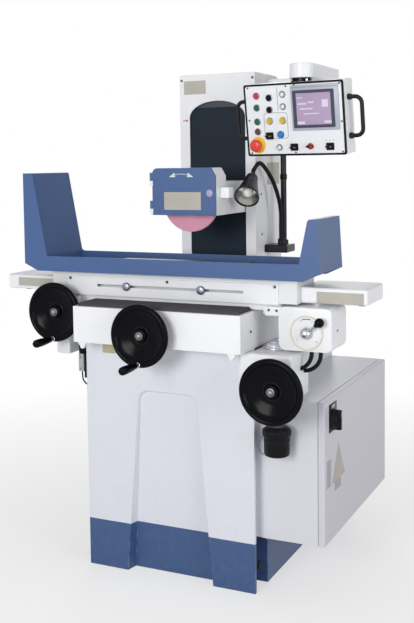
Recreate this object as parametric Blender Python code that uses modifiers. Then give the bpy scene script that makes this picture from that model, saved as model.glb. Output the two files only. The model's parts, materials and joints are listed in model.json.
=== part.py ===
"""Hydraulic saddle surface grinder with a swivelling control pendant, as separate solids.

Metres, +Z up, +X to the operator's right, +Y towards the column. The constants' Y is measured
from the machine's own datum. The machine empty then carries every piece back, so that the
world's origin is on the floor below the middle of the space that the machine takes.
"""
import math

import bmesh
import bpy
from mathutils import Matrix, Vector

# ---- fits -------------------------------------------------------------------------------------
GAP = 0.0003            # clearance between pieces that touch
RUNNING = 0.001         # clearance between pieces that slide or turn
SHEET = 0.003           # sheet metal
MERGE = 0.00001

# ---- base casting -----------------------------------------------------------------------------
BASE_HALF = 0.3025
BASE_FRONT = -0.36
BASE_BACK = 0.42
BASE_TOP = 0.775
BASE_WALL = 0.020
WAIST_HALF = BASE_HALF - 0.0405      # half width behind the front panel
WAIST_BACK = -0.262
SHOULDER_DRAFT = 0.001
LIP = 0.010
RECESS_TOP = BASE_TOP - 0.153
RECESS_HALF_TOP = 0.113
RECESS_HALF_BOTTOM = 0.162
RECESS_DEEP_TOP = 0.010
RECESS_DEEP_BOTTOM = 0.042
RECESS_DRAFT = 0.012

# ---- front housing over the cross ways ----------------------------------------------------------
HOUSING_HALF = BASE_HALF - 0.0065
HOUSING_FRONT = -0.445
HOUSING_BACK = 0.03
HOUSING_TOP = BASE_TOP + 0.118
HOUSING_WALL = 0.012
WAY_LIFT = 0.025        # height of the cross ways over the base
WAY_HALF = 0.045
WAY_PLACE = 0.205
TAB_PLACE = HOUSING_HALF - 0.031
TAB_HALF = 0.017
TAB_DROP = 0.020

# ---- saddle and table ---------------------------------------------------------------------------
SADDLE_FRONT = -0.330
SADDLE_BACK = -0.070
SADDLE_HALF = HOUSING_HALF - 0.026
SADDLE_TOP = BASE_TOP + 0.145
WING_STEP = HOUSING_HALF + 0.029
WING_HALF = WING_STEP + 0.0597      # half width of the saddle's upper plate
TABLE_HALF = 0.440
TABLE_FRONT = -0.342
TABLE_DEPTH = 0.160
TABLE_BOTTOM = SADDLE_TOP + GAP
TABLE_SHOULDER = SADDLE_TOP + 0.076
TABLE_FACE = SADDLE_TOP + 0.110      # ground working face
FACE_HALF = TABLE_HALF - 0.210
FACE_INSET = 0.005
SLOT_NECK = 0.0135
SLOT_FOOT = 0.023
SLOT_NECK_DEEP = 0.014
SLOT_FOOT_DEEP = 0.011

PANEL_HALF = TABLE_HALF - 0.059
PANEL_BOTTOM = SADDLE_TOP - 0.003
PANEL_TOP = SADDLE_TOP + 0.059
DOG_SLOT_HALF = 0.264
DOG_SLOT_HEIGHT = 0.008
DOG_Z = SADDLE_TOP + 0.031
DOG_RADIUS = 0.014
DOG_LEFT = -0.150
DOG_RIGHT = 0.120

END_HALF = TABLE_HALF + 0.210        # half length over both end covers
END_FRONT = -0.312
END_BACK = -0.130
END_BOTTOM = SADDLE_TOP + 0.0005
END_TOP = SADDLE_TOP + 0.052

TRAY_HALF = TABLE_HALF + 0.086
TRAY_FRONT = -0.383
TRAY_BACK = -0.160
TRAY_BOTTOM = SADDLE_TOP + 0.100
TRAY_RIM = SADDLE_TOP + 0.127
TRAY_FLOOR = TABLE_SHOULDER + GAP
TRAY_LEFT_TOP = SADDLE_TOP + 0.405
TRAY_RIGHT_TOP = SADDLE_TOP + 0.262
TRAY_SHEET = 0.004
TRAY_TAPER = 0.052      # how far the underside comes in at each end

# ---- column and its covers ----------------------------------------------------------------------
COLUMN_HALF = 0.146
COLUMN_FRONT = 0.054
COLUMN_BACK = 0.300
COLUMN_TOP = BASE_TOP + 0.892
COLUMN_FOOT = BASE_TOP + GAP
BACK_ROUND = 0.050
ARCH_HALF = COLUMN_HALF - 0.038
ARCH_SPRING = COLUMN_TOP - 0.152
ARCH_RISE = 0.058
ARCH_SILL = BASE_TOP + 0.055
CASTING_WALL = 0.028
PLATE_HALF = COLUMN_HALF - 0.018
PLATE_RUN = 0.0006      # running gap between telescopic plates
BRIDGE_LOW = COLUMN_TOP - 0.197
SILL_TOP = BASE_TOP + 0.225

# ---- wheel head -----------------------------------------------------------------------------------
SPINDLE_Z = BASE_TOP + 0.4485
HEAD_HALF = ARCH_HALF - 0.004
HEAD_BOTTOM = SPINDLE_Z - 0.0455
HEAD_TOP = SPINDLE_Z + 0.0665
HEAD_FRONT = -0.137
HEAD_BACK = 0.085
SPINDLE_R = 0.030
WHEEL_R = 0.1015
WHEEL_WIDTH = 0.013
WHEEL_FRONT = -0.170
WHEEL_BORE_R = 0.015875
GUARD_HALF = WHEEL_R + 0.0155
GUARD_BOTTOM = SPINDLE_Z - 0.0435
GUARD_TOP = SPINDLE_Z + WHEEL_R + 0.012
GUARD_FRONT = -0.215
GUARD_WALL = 0.006
GUARD_DOOR = 0.005
GUARD_HINGE_R = 0.005
MOTOR_R = 0.068
MOTOR_BACK = 0.262
SCREW_X = -0.086
SCREW_Y = 0.185
SCREW_R = 0.011

# ---- handwheels -----------------------------------------------------------------------------------
HANDWHEEL_R = 0.100
RIM_WIDTH = 0.018
RIM_DEEP = 0.022
HUB_R = 0.021
HUB_DEEP = 0.045
SHAFT_R = 0.011
GRIP_RADIUS = 0.089
GRIP_LENGTH = 0.105
GRIP_PIN_R = 0.004
TABLE_WHEEL = (-WING_HALF - 0.0153, -0.410, SADDLE_TOP - 0.059)
CROSS_WHEEL = (-0.026, -0.500, BASE_TOP + 0.044)
LIFT_WHEEL = (BASE_HALF + 0.1075, -0.500, BASE_TOP - 0.094)
CROSS_SCREW_R = 0.010

# ---- side boxes -----------------------------------------------------------------------------------
GEARBOX_HALF = 0.026
GEARBOX_FRONT = -0.352
GEARBOX_DEEP = 0.130
GEARBOX_BOTTOM = SADDLE_TOP - 0.208
GEARBOX_TOP = SADDLE_TOP - 0.006
LIFT_BOX_FRONT = -0.405
LIFT_BOX_LEFT = BASE_HALF - 0.0325
LIFT_BOX_RIGHT = BASE_HALF + 0.1425
LIFT_BOX_BOTTOM = BASE_TOP - 0.145
LIFT_BOX_BACK = -0.250
LEVER_BOX_LEFT = WING_HALF + 0.0003
LEVER_BOX_RIGHT = LEVER_BOX_LEFT + 0.168
LEVER_BOX_FRONT = -0.355
LEVER_BOX_BACK = -0.211
LEVER_BOX_BOTTOM = SADDLE_TOP - 0.138
LEVER_BOX_TOP = SADDLE_TOP - 0.006
FLANGE_LEFT = WING_STEP + 0.013
FLANGE_BOTTOM = SADDLE_TOP - 0.034
FLANGE_DEEP = 0.010
LEVER_X = LEVER_BOX_LEFT + 0.090
LEVER_Z = SADDLE_TOP - 0.082
LEVER_HUB_R = 0.018
BALL_R = 0.015
BALL_PLACE = (LEVER_X + 0.047, LEVER_Z + 0.037)

# ---- electrical cabinet -----------------------------------------------------------------------------
REAR_HALF = BASE_HALF + 0.0025
CABINET_RIGHT = REAR_HALF + 0.187
CABINET_FRONT = -0.310
CABINET_BACK = 0.405
CABINET_BOTTOM = 0.165
CABINET_TOP = BASE_TOP - 0.158
DOOR_DEEP = 0.0225
SWITCH_Y = -0.230
SWITCH_Z = CABINET_TOP - 0.069
SWITCH_R = 0.034
SWITCH_KNOB_R = 0.025
SWITCH_OUT = 0.030

# ---- oil filler ---------------------------------------------------------------------------------------
FILLER_X = REAR_HALF + 0.071
FILLER_R = 0.041
FILLER_BOTTOM = CABINET_TOP - 0.165
FILLER_TOP = CABINET_TOP - 0.111
FILLER_CAP_R = 0.045
FILLER_CAP_TOP = CABINET_TOP - 0.073

# ---- lamp, conduit and pendant arm ----------------------------------------------------------------------
POLE_X = COLUMN_HALF + 0.0547
POLE_Y = 0.185
POLE_R = 0.008
STAND_Z = BASE_TOP + 0.255
STAND_TOP = STAND_Z + 0.028
NECK_R = 0.0075
NECK_ROOT = (COLUMN_HALF + 0.0565, 0.150)
LAMP_TAIL = (COLUMN_HALF + 0.011, -0.001, STAND_TOP + 0.251)
LAMP_AXIS = (0.147, -0.797, -0.586)
LAMP_LENGTH = 0.125
LAMP_R = 0.043
LAMP_BALL_R = 0.011     # ball joint between the gooseneck and the lamp
BEAM_Y = 0.190
BEAM_HALF = 0.025
BEAM_BOTTOM = COLUMN_TOP - 0.067
BEAM_TOP = COLUMN_TOP - 0.019
ARM_X = COLUMN_HALF + 0.216
ARM_HALF = 0.043
ARM_FRONT = -0.062
ARM_BOTTOM = COLUMN_TOP - 0.0417
ARM_TOP = COLUMN_TOP + 0.005
PENDANT_AT = (ARM_X - 0.017, -0.100, ARM_BOTTOM - 0.1343)
PENDANT_TURN = math.radians(-6.7)
PENDANT_LEAN = math.radians(7.8)
PENDANT_WIDTH = 0.359
PENDANT_HEIGHT = 0.238
PENDANT_DEPTH = 0.075
HANDLE_R = 0.007
HANDLE_OUT = 0.046
BUTTON_R = 0.0105
BUTTON_STEM_R = 0.007
BUTTON_STEM = 0.012
BUTTON_PROUD = 0.008

# control name: place on the panel (right, up) from its middle
PUSH_BUTTONS = {
    "button_red": (-0.132, 0.081),
    "button_black_top": (-0.085, 0.073),
    "button_green_top": (-0.133, 0.042),
    "button_black_middle": (-0.086, 0.034),
    "button_green_low": (-0.134, -0.004),
    "button_yellow_left": (-0.088, -0.003),
    "button_yellow_right": (-0.040, -0.003),
    "button_brown": (-0.135, -0.037),
    "button_blue": (-0.051, -0.049),
}
SELECTORS = {
    "selector_left": (-0.092, -0.052),
    "selector_middle": (-0.004, -0.091),
    "selector_red": (0.055, -0.089),
    "selector_right": (0.124, -0.091),
}
STOP_PLACE = (-0.138, -0.082)
STOP_R = 0.021

WHITE = (0.80, 0.81, 0.82, 1.0)
BLUE = (0.12, 0.19, 0.40, 1.0)
BLACK = (0.012, 0.012, 0.014, 1.0)
DARK = (0.035, 0.045, 0.055, 1.0)
STEEL = (0.52, 0.53, 0.55, 1.0)


# ---- scene, materials and operators -----------------------------------------------------------------
def clear_scene():
    for item in list(bpy.data.objects):
        bpy.data.objects.remove(item)


def new_collection(name):
    collection = bpy.data.collections.new(name)
    bpy.context.scene.collection.children.link(collection)
    return collection


clear_scene()
PARTS = new_collection("surface_grinder")
CUTTERS = new_collection("cutters")
MACHINE = bpy.data.objects.new("machine", None)
MACHINE.location = (0, (GRIP_LENGTH - CROSS_WHEEL[1] - BASE_BACK) / 2, 0)
PARTS.objects.link(MACHINE)


def dress(item, colour, roughness=0.45, metallic=0.0):
    """Give the piece a material of its own."""
    material = bpy.data.materials.new(item.name)
    material.use_nodes = True
    shader = material.node_tree.nodes["Principled BSDF"]
    shader.inputs["Base Color"].default_value = colour
    shader.inputs["Roughness"].default_value = roughness
    shader.inputs["Metallic"].default_value = metallic
    item.data.materials.append(material)
    return item


def put(name, mesh, origin=(0, 0, 0)):
    """Link a mesh as an object whose origin is at the given point."""
    item = bpy.data.objects.new(name, mesh)
    item.parent = MACHINE
    item.location = origin
    PARTS.objects.link(item)
    return item


def as_tool(item):
    """Keep a cutter or a joined lump out of the model."""
    for collection in item.users_collection:
        collection.objects.unlink(item)
    CUTTERS.objects.link(item)
    item.hide_render = True
    item.display_type = "WIRE"
    return item


def combine(item, tool, operation="DIFFERENCE"):
    """Cut the tool from the piece, or join it on."""
    as_tool(tool)
    step = item.modifiers.new(tool.name, "BOOLEAN")
    step.operation = operation
    step.solver = "EXACT"
    step.object = tool
    return item


def cut(item, *tools):
    for tool in tools:
        combine(item, tool)
    return item


def join(item, *lumps):
    for lump in lumps:
        combine(item, lump, "UNION")
    return item


def soften(item, width, segments=2, angle=40.0):
    """Round the piece's edges."""
    step = item.modifiers.new("edges", "BEVEL")
    step.width = width
    step.segments = segments
    step.limit_method = "ANGLE"
    step.angle_limit = math.radians(angle)
    step.harden_normals = False
    return item


def box(name, low, high, origin=None):
    """A box between two corners, with its origin at a point or at its middle."""
    low, high = Vector(low), Vector(high)
    middle = (low + high) / 2
    origin = Vector(origin) if origin is not None else middle
    shape = bmesh.new()
    bmesh.ops.create_cube(shape, size=1.0)
    bmesh.ops.scale(shape, verts=shape.verts, vec=high - low)
    bmesh.ops.translate(shape, verts=shape.verts, vec=middle - origin)
    mesh = bpy.data.meshes.new(name)
    shape.to_mesh(mesh)
    shape.free()
    return put(name, mesh, origin)


TURNS = {
    "x": Matrix.Rotation(math.radians(90), 4, "Z") @ Matrix.Rotation(math.radians(90), 4, "X"),
    "y": Matrix.Rotation(math.radians(90), 4, "X"),
    "z": Matrix.Identity(4),
}


def rod(name, centre, radius, length, axis="y", sides=24, origin=None):
    """A round bar whose middle is at the centre."""
    centre = Vector(centre)
    origin = Vector(origin) if origin is not None else centre
    shape = bmesh.new()
    bmesh.ops.create_cone(shape, cap_ends=True, segments=sides, radius1=radius, radius2=radius,
                          depth=length)
    bmesh.ops.transform(shape, matrix=TURNS[axis], verts=shape.verts)
    bmesh.ops.translate(shape, verts=shape.verts, vec=centre - origin)
    mesh = bpy.data.meshes.new(name)
    shape.to_mesh(mesh)
    shape.free()
    mesh.shade_smooth()
    mesh.set_sharp_from_angle(angle=math.radians(35))
    return put(name, mesh, origin)


def bore(name, centre, shaft, length, axis="y", sides=20):
    """A cutter that clears a round shaft all round, flats included."""
    return rod(name, centre, (shaft + GAP) / math.cos(math.pi / sides), length, axis, sides)


def settle(item, origin=(0, 0, 0)):
    """Turn a curve into a mesh with its caps welded, placed where the curve was."""
    graph = bpy.context.evaluated_depsgraph_get()
    mesh = bpy.data.meshes.new_from_object(item.evaluated_get(graph))
    mesh.transform(item.matrix_world)
    mesh.transform(Matrix.Translation(-Vector(origin)))
    shape = bmesh.new()
    shape.from_mesh(mesh)
    bmesh.ops.remove_doubles(shape, verts=shape.verts, dist=MERGE)
    bmesh.ops.recalc_face_normals(shape, faces=shape.faces)
    shape.to_mesh(mesh)
    shape.free()
    name = item.name
    bpy.data.objects.remove(item)
    solid = put(name, mesh, origin)
    solid.name = name
    return solid


def prism(name, outline, axis, low, high, origin=(0, 0, 0)):
    """A flat outline pushed along an axis: (x, y) for z, (x, z) for y and (y, z) for x."""
    curve = bpy.data.curves.new(name, "CURVE")
    curve.dimensions = "2D"
    curve.fill_mode = "BOTH"
    curve.extrude = (high - low) / 2
    line = curve.splines.new("POLY")
    line.points.add(len(outline) - 1)
    for point, (across, up) in zip(line.points, outline):
        point.co = (across, up, 0, 1)
    line.use_cyclic_u = True
    item = bpy.data.objects.new(name, curve)
    PARTS.objects.link(item)
    middle = (low + high) / 2
    item.matrix_world = {
        "z": Matrix.Translation((0, 0, middle)),
        "y": Matrix.Translation((0, middle, 0)) @ TURNS["y"],
        "x": Matrix.Translation((middle, 0, 0)) @ TURNS["x"],
    }[axis]
    bpy.context.view_layer.update()
    return settle(item, origin)


def turned(name, profile, at, axis=(0, 0, 1), steps=28):
    """A profile of (radius, height) pairs, outer side first from the top, spun about an axis."""
    mesh = bpy.data.meshes.new(name)
    ring = profile[0] == profile[-1]
    points = [(radius, 0, height) for radius, height in profile[:-1 if ring else None]]
    edges = [(i, i + 1) for i in range(len(points) - 1)]
    if ring:
        edges.append((len(points) - 1, 0))
    mesh.from_pydata(points, edges, [])
    item = put(name, mesh, at)
    item.rotation_euler = Vector((0, 0, 1)).rotation_difference(Vector(axis)).to_euler()
    step = item.modifiers.new("turn", "SCREW")
    step.steps = steps
    step.render_steps = steps
    step.use_merge_vertices = True
    step.merge_threshold = MERGE
    step.use_smooth_shade = True
    return item


def pipe(name, points, radius, origin=(0, 0, 0), sides=2):
    """A round tube through points."""
    curve = bpy.data.curves.new(name, "CURVE")
    curve.dimensions = "3D"
    curve.bevel_depth = radius
    curve.bevel_resolution = sides
    curve.use_fill_caps = True
    line = curve.splines.new("POLY")
    line.points.add(len(points) - 1)
    for point, place in zip(line.points, points):
        point.co = (*place, 1)
    item = bpy.data.objects.new(name, curve)
    PARTS.objects.link(item)
    bpy.context.view_layer.update()
    return settle(item, origin)


def arc(centre, radius, start, end, count):
    """Points on an arc, in degrees."""
    angles = [math.radians(start + (end - start) * i / count) for i in range(count + 1)]
    return [(centre[0] + radius * math.cos(a), centre[1] + radius * math.sin(a)) for a in angles]


def smooth_path(points, count):
    """Points along a smooth curve through the given ones."""
    ends = [points[0]] + list(points) + [points[-1]]
    path = []
    for i in range(1, len(ends) - 2):
        p0, p1, p2, p3 = (Vector(p) for p in ends[i - 1:i + 3])
        for j in range(count):
            t = j / count
            path.append(0.5 * (2 * p1 + (p2 - p0) * t + (2 * p0 - 5 * p1 + 4 * p2 - p3) * t * t
                               + (3 * p1 - p0 - 3 * p2 + p3) * t ** 3))
    path.append(Vector(points[-1]))
    return path


# ---- base and fixed housings -----------------------------------------------------------------------
def make_base():
    """Hollow iron casting with a tapered panel sunk in its front, open underneath."""
    half = [(BASE_HALF, BASE_FRONT), (BASE_HALF, BASE_FRONT + LIP), (WAIST_HALF, WAIST_BACK),
            (REAR_HALF, WAIST_BACK + SHOULDER_DRAFT), (REAR_HALF, BASE_BACK)]
    outline = half + [(-x, y) for x, y in reversed(half)]
    base = prism("base", outline, "z", 0, BASE_TOP)
    front = BASE_FRONT + RECESS_DEEP_BOTTOM + BASE_WALL
    shoulder = WAIST_BACK + BASE_WALL
    inner = [(WAIST_HALF - BASE_WALL, front), (WAIST_HALF - BASE_WALL, shoulder),
             (REAR_HALF - BASE_WALL, shoulder + SHOULDER_DRAFT),
             (REAR_HALF - BASE_WALL, BASE_BACK - BASE_WALL)]
    inner = inner + [(-x, y) for x, y in reversed(inner)]
    cut(base, front_recess(), prism("base_hollow", inner, "z", -0.05, BASE_TOP - BASE_WALL))
    for side in (-1, 1):
        x = side * WAY_PLACE
        way = box(f"cross_way_{side}", (x - WAY_HALF, BASE_FRONT + 0.03, BASE_TOP - 0.005),
                  (x + WAY_HALF, 0.03, BASE_TOP + WAY_LIFT))
        join(base, way)
    return dress(base, WHITE)


def front_recess():
    """The tapered panel: shallow at its top, deep at the floor, with a rounded top."""
    shape = bmesh.new()
    bmesh.ops.create_cube(shape, size=2.0)
    for vert in shape.verts:
        top = vert.co.z > 0
        back = vert.co.y > 0
        half = RECESS_HALF_TOP if top else RECESS_HALF_BOTTOM
        deep = RECESS_DEEP_TOP if top else RECESS_DEEP_BOTTOM
        vert.co.x *= half - (RECESS_DRAFT if back else 0)
        vert.co.y = BASE_FRONT + deep if back else BASE_FRONT - 0.02
        vert.co.z = (RECESS_TOP - (RECESS_DRAFT if back else 0)) if top else -0.02
    corners = [edge for edge in shape.edges if all(v.co.z > RECESS_TOP - 0.05 for v in edge.verts)
               and abs(edge.verts[0].co.y - edge.verts[1].co.y) > 0.01]
    bmesh.ops.bevel(shape, geom=corners, offset=0.03, segments=4, affect="EDGES", profile=0.5)
    bmesh.ops.triangulate(shape, faces=shape.faces)
    mesh = bpy.data.meshes.new("front_recess")
    shape.to_mesh(mesh)
    shape.free()
    return put("front_recess", mesh)


def make_front_housing():
    """Walls round the cross ways, with a floor under the overhang and two pointed way wipers."""
    half = HOUSING_HALF
    low = BASE_TOP + GAP
    outline = [(-half, HOUSING_FRONT), (half, HOUSING_FRONT), (half, HOUSING_BACK),
               (half - HOUSING_WALL, HOUSING_BACK),
               (half - HOUSING_WALL, HOUSING_FRONT + HOUSING_WALL),
               (-half + HOUSING_WALL, HOUSING_FRONT + HOUSING_WALL),
               (-half + HOUSING_WALL, HOUSING_BACK), (-half, HOUSING_BACK)]
    housing = prism("front_housing", outline, "z", low, HOUSING_TOP)
    floor = box("housing_floor", (-half + 0.002, HOUSING_FRONT + 0.002, low),
                (half - 0.002, BASE_FRONT + 0.02, low + HOUSING_WALL))
    join(housing, floor)
    for side in (-1, 1):
        x = side * TAB_PLACE
        tab = prism(f"way_wiper_{side}", [(x - TAB_HALF, low + 0.004), (x - 0.004, low - TAB_DROP),
                                          (x + 0.004, low - TAB_DROP), (x + TAB_HALF, low + 0.004)],
                    "y", HOUSING_FRONT + 0.001, HOUSING_FRONT + 0.001 + HOUSING_WALL)
        join(housing, tab)
    x, _, z = CROSS_WHEEL
    cut(housing, bore("cross_bearing", (x, HOUSING_FRONT, z), SHAFT_R, 0.06))
    return dress(housing, WHITE)


def make_way_bellows():
    """Folded cover between the front housing and the saddle."""
    half = HOUSING_HALF - HOUSING_WALL - GAP
    low, high = HOUSING_TOP - 0.006, HOUSING_TOP + 0.012
    front, back = HOUSING_FRONT + HOUSING_WALL + GAP, SADDLE_FRONT - GAP
    folds = 7
    top = []
    for i in range(folds):
        a = front + (back - front) * i / folds
        b = front + (back - front) * (i + 0.5) / folds
        top += [(a, high - 0.006), (b, high)]
    top.append((back, high - 0.006))
    outline = [(back, low), (front, low)] + top
    return dress(prism("way_bellows", outline[::-1], "x", -half, half), DARK, 0.7)


def make_lift_gearbox():
    """Bracket at the base's right shoulder that carries the elevating handwheel's shaft."""
    item = box("lift_gearbox", (LIFT_BOX_LEFT, LIFT_BOX_FRONT, LIFT_BOX_BOTTOM),
               (LIFT_BOX_RIGHT, LIFT_BOX_BACK, BASE_TOP - 0.002))
    soften(item, 0.008, 2)
    cut(item, box("shoulder_rest", (LIFT_BOX_LEFT - 0.01, BASE_FRONT - GAP, 0.5),
                  (REAR_HALF + GAP, 0, 0.9)))
    x, _, z = LIFT_WHEEL
    cut(item, bore("lift_bore", (x, LIFT_BOX_FRONT, z), SHAFT_R, 0.2))
    return dress(item, WHITE)


def make_cabinet():
    """Sheet steel electrical cabinet on the base's right side, with its door facing right."""
    left = REAR_HALF + GAP
    shell = box("electrical_cabinet", (left, CABINET_FRONT, CABINET_BOTTOM),
                (CABINET_RIGHT, CABINET_BACK, CABINET_TOP))
    room = box("cabinet_room", (left + SHEET, CABINET_FRONT + SHEET, CABINET_BOTTOM + SHEET),
               (CABINET_RIGHT + 0.05, CABINET_BACK - SHEET, CABINET_TOP - SHEET))
    dress(cut(shell, room), WHITE)
    hinge = (CABINET_RIGHT + DOOR_DEEP, CABINET_BACK, (CABINET_BOTTOM + CABINET_TOP) / 2)
    door = box("cabinet_door", (CABINET_RIGHT + GAP, CABINET_FRONT, CABINET_BOTTOM),
               (CABINET_RIGHT + DOOR_DEEP, CABINET_BACK, CABINET_TOP), hinge)
    soften(door, 0.003, 2)
    pan = box("door_pan", (CABINET_RIGHT - 0.05, CABINET_FRONT + SHEET, CABINET_BOTTOM + SHEET),
              (CABINET_RIGHT + DOOR_DEEP - SHEET, CABINET_BACK - SHEET, CABINET_TOP - SHEET))
    face = CABINET_RIGHT + DOOR_DEEP
    hole = bore("switch_bore", (face, SWITCH_Y, SWITCH_Z), 0.008, 0.04, "x")
    dress(cut(door, pan, hole), WHITE)
    knob = turned("main_switch", [(0, SWITCH_OUT), (SWITCH_KNOB_R - 0.003, SWITCH_OUT),
                                  (SWITCH_KNOB_R - 0.001, SWITCH_OUT - 0.002),
                                  (SWITCH_KNOB_R, 0.009),
                                  (SWITCH_R, 0.006), (SWITCH_R, GAP), (0.008, GAP),
                                  (0.008, -0.018), (0, -0.018)],
                  (face, SWITCH_Y, SWITCH_Z), (1, 0, 0), 24)
    grip_half = SWITCH_R - 0.002
    grip = box("switch_grip", (face + 0.004, SWITCH_Y - 0.007, SWITCH_Z - grip_half),
               (face + SWITCH_OUT - 0.001, SWITCH_Y + 0.007, SWITCH_Z + grip_half))
    dress(join(knob, grip), BLACK, 0.4)


def make_filler():
    """Oil filler on the cabinet's front: a cup on a bracket, closed by a knurled breather cap."""
    y = CABINET_FRONT - GAP - FILLER_R - 0.004
    inner = FILLER_R - 0.004
    cup = turned("oil_filler", [(0, FILLER_BOTTOM + 0.004), (inner, FILLER_BOTTOM + 0.008),
                                (inner, FILLER_TOP), (FILLER_R, FILLER_TOP - 0.002),
                                (FILLER_R, FILLER_BOTTOM + 0.006),
                                (FILLER_R - 0.006, FILLER_BOTTOM), (0, FILLER_BOTTOM)],
                 (FILLER_X, y, 0), (0, 0, 1), 24)
    back = box("filler_bracket", (FILLER_X - 0.022, y + FILLER_R - 0.003, FILLER_BOTTOM + 0.012),
               (FILLER_X + 0.022, CABINET_FRONT - GAP, FILLER_TOP - 0.006))
    dress(join(cup, back), BLACK, 0.35)
    cap = turned("filler_cap", [(0, FILLER_CAP_TOP), (0.030, FILLER_CAP_TOP),
                                (0.036, FILLER_CAP_TOP - 0.004), (FILLER_CAP_R, FILLER_CAP_TOP - 0.012),
                                (FILLER_CAP_R, FILLER_CAP_TOP - 0.025), (0.042, FILLER_TOP + GAP),
                                (FILLER_R - 0.006, FILLER_TOP + GAP),
                                (FILLER_R - 0.006, FILLER_TOP - 0.012), (0, FILLER_TOP - 0.012)],
                 (FILLER_X, y, 0), (0, 0, 1), 24)
    dress(cap, BLACK, 0.35)


# ---- column ------------------------------------------------------------------------------------------
def arch_outline(half, spring, rise, sill, count=14):
    """A tall opening with an elliptical top."""
    top = [(half * math.cos(math.pi * i / count), spring + rise * math.sin(math.pi * i / count))
           for i in range(count + 1)]
    return [(-half, sill), (half, sill)] + top


def column_side(inset):
    """The column's side outline, with the top of its back rounded."""
    front, back = COLUMN_FRONT + inset, COLUMN_BACK - inset
    top = COLUMN_TOP - inset
    radius = BACK_ROUND - inset
    return ([(front, COLUMN_FOOT), (back, COLUMN_FOOT)]
            + arc((back - radius, top - radius), radius, 0, 90, 6) + [(front, top)])


def plate_level(index):
    """Front face of telescopic plate number index, behind the column's front cover."""
    return COLUMN_FRONT + SHEET + PLATE_RUN + (SHEET + PLATE_RUN) * index


def make_column():
    """Double walled casting, open at its front between the ways, and its sheet cover."""
    cover = prism("column_cover", column_side(0), "x", -COLUMN_HALF, COLUMN_HALF)
    inner = prism("cover_room", [(y, z - 0.05 if z < COLUMN_FOOT + 0.01 else z)
                                 for y, z in column_side(SHEET)], "x",
                  -COLUMN_HALF + SHEET, COLUMN_HALF - SHEET)
    arch = prism("cover_arch", arch_outline(ARCH_HALF, ARCH_SPRING, ARCH_RISE, ARCH_SILL), "y",
                 COLUMN_FRONT - 0.02, COLUMN_FRONT + 0.02)
    dress(cut(cover, inner, arch), WHITE)

    half = COLUMN_HALF - SHEET - GAP
    front = plate_level(2)
    back = COLUMN_BACK - SHEET - GAP
    top = COLUMN_TOP - SHEET - BACK_ROUND
    column = box("column", (-half, front, COLUMN_FOOT), (half, back, top))
    room = box("column_room", (-half + CASTING_WALL + GAP, front - 0.02, COLUMN_FOOT - 0.02),
               (half - CASTING_WALL - GAP, back - CASTING_WALL, top + 0.02))
    slot = box("head_way", (-HEAD_HALF - RUNNING, front - 0.02, COLUMN_FOOT - 0.02),
               (HEAD_HALF + RUNNING, back - CASTING_WALL, top + 0.02))
    cut(column, room, slot)
    bridge = box("top_bridge", (-half + 0.002, front + 0.0005, BRIDGE_LOW),
                 (half - 0.002, front + 0.008, top - 0.001))
    sill = box("sill", (-half + 0.002, front + 0.0005, COLUMN_FOOT + 0.001),
               (half - 0.002, front + 0.008, SILL_TOP))
    dress(join(column, bridge, sill), DARK)


def make_way_plate(name, level, low, high):
    y = plate_level(level)
    plate = box(name, (-PLATE_HALF, y, low), (PLATE_HALF, y + SHEET, high),
                (0, y, (low + high) / 2))
    return dress(plate, DARK, 0.4)


def make_way_plates():
    """Telescopic covers over the column's ways, above and below the head."""
    clear = HEAD_HALF + GAP
    upper = make_way_plate("way_plate_upper", 0, HEAD_BOTTOM + 0.02, SPINDLE_Z + 0.2165)
    lower = make_way_plate("way_plate_lower", 0, SPINDLE_Z - 0.2455, HEAD_TOP - 0.02)
    middle = (HEAD_BOTTOM + HEAD_TOP) / 2
    cut(upper, box("upper_notch", (-clear, -0.1, HEAD_BOTTOM - 0.01), (clear, 0.2, HEAD_TOP + GAP)),
        box("upper_trim", (-0.2, -0.1, HEAD_BOTTOM), (0.2, 0.2, middle + GAP)))
    cut(lower, box("lower_notch", (-clear, -0.1, HEAD_BOTTOM - GAP), (clear, 0.2, HEAD_TOP + 0.01)),
        box("lower_trim", (-0.2, -0.1, middle - GAP), (0.2, 0.2, HEAD_TOP)))
    make_way_plate("way_plate_upper_middle", 1, SPINDLE_Z + 0.1615, SPINDLE_Z + 0.3265)
    make_way_plate("way_plate_lower_middle", 1, SPINDLE_Z - 0.3735, SPINDLE_Z - 0.1335)


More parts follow.
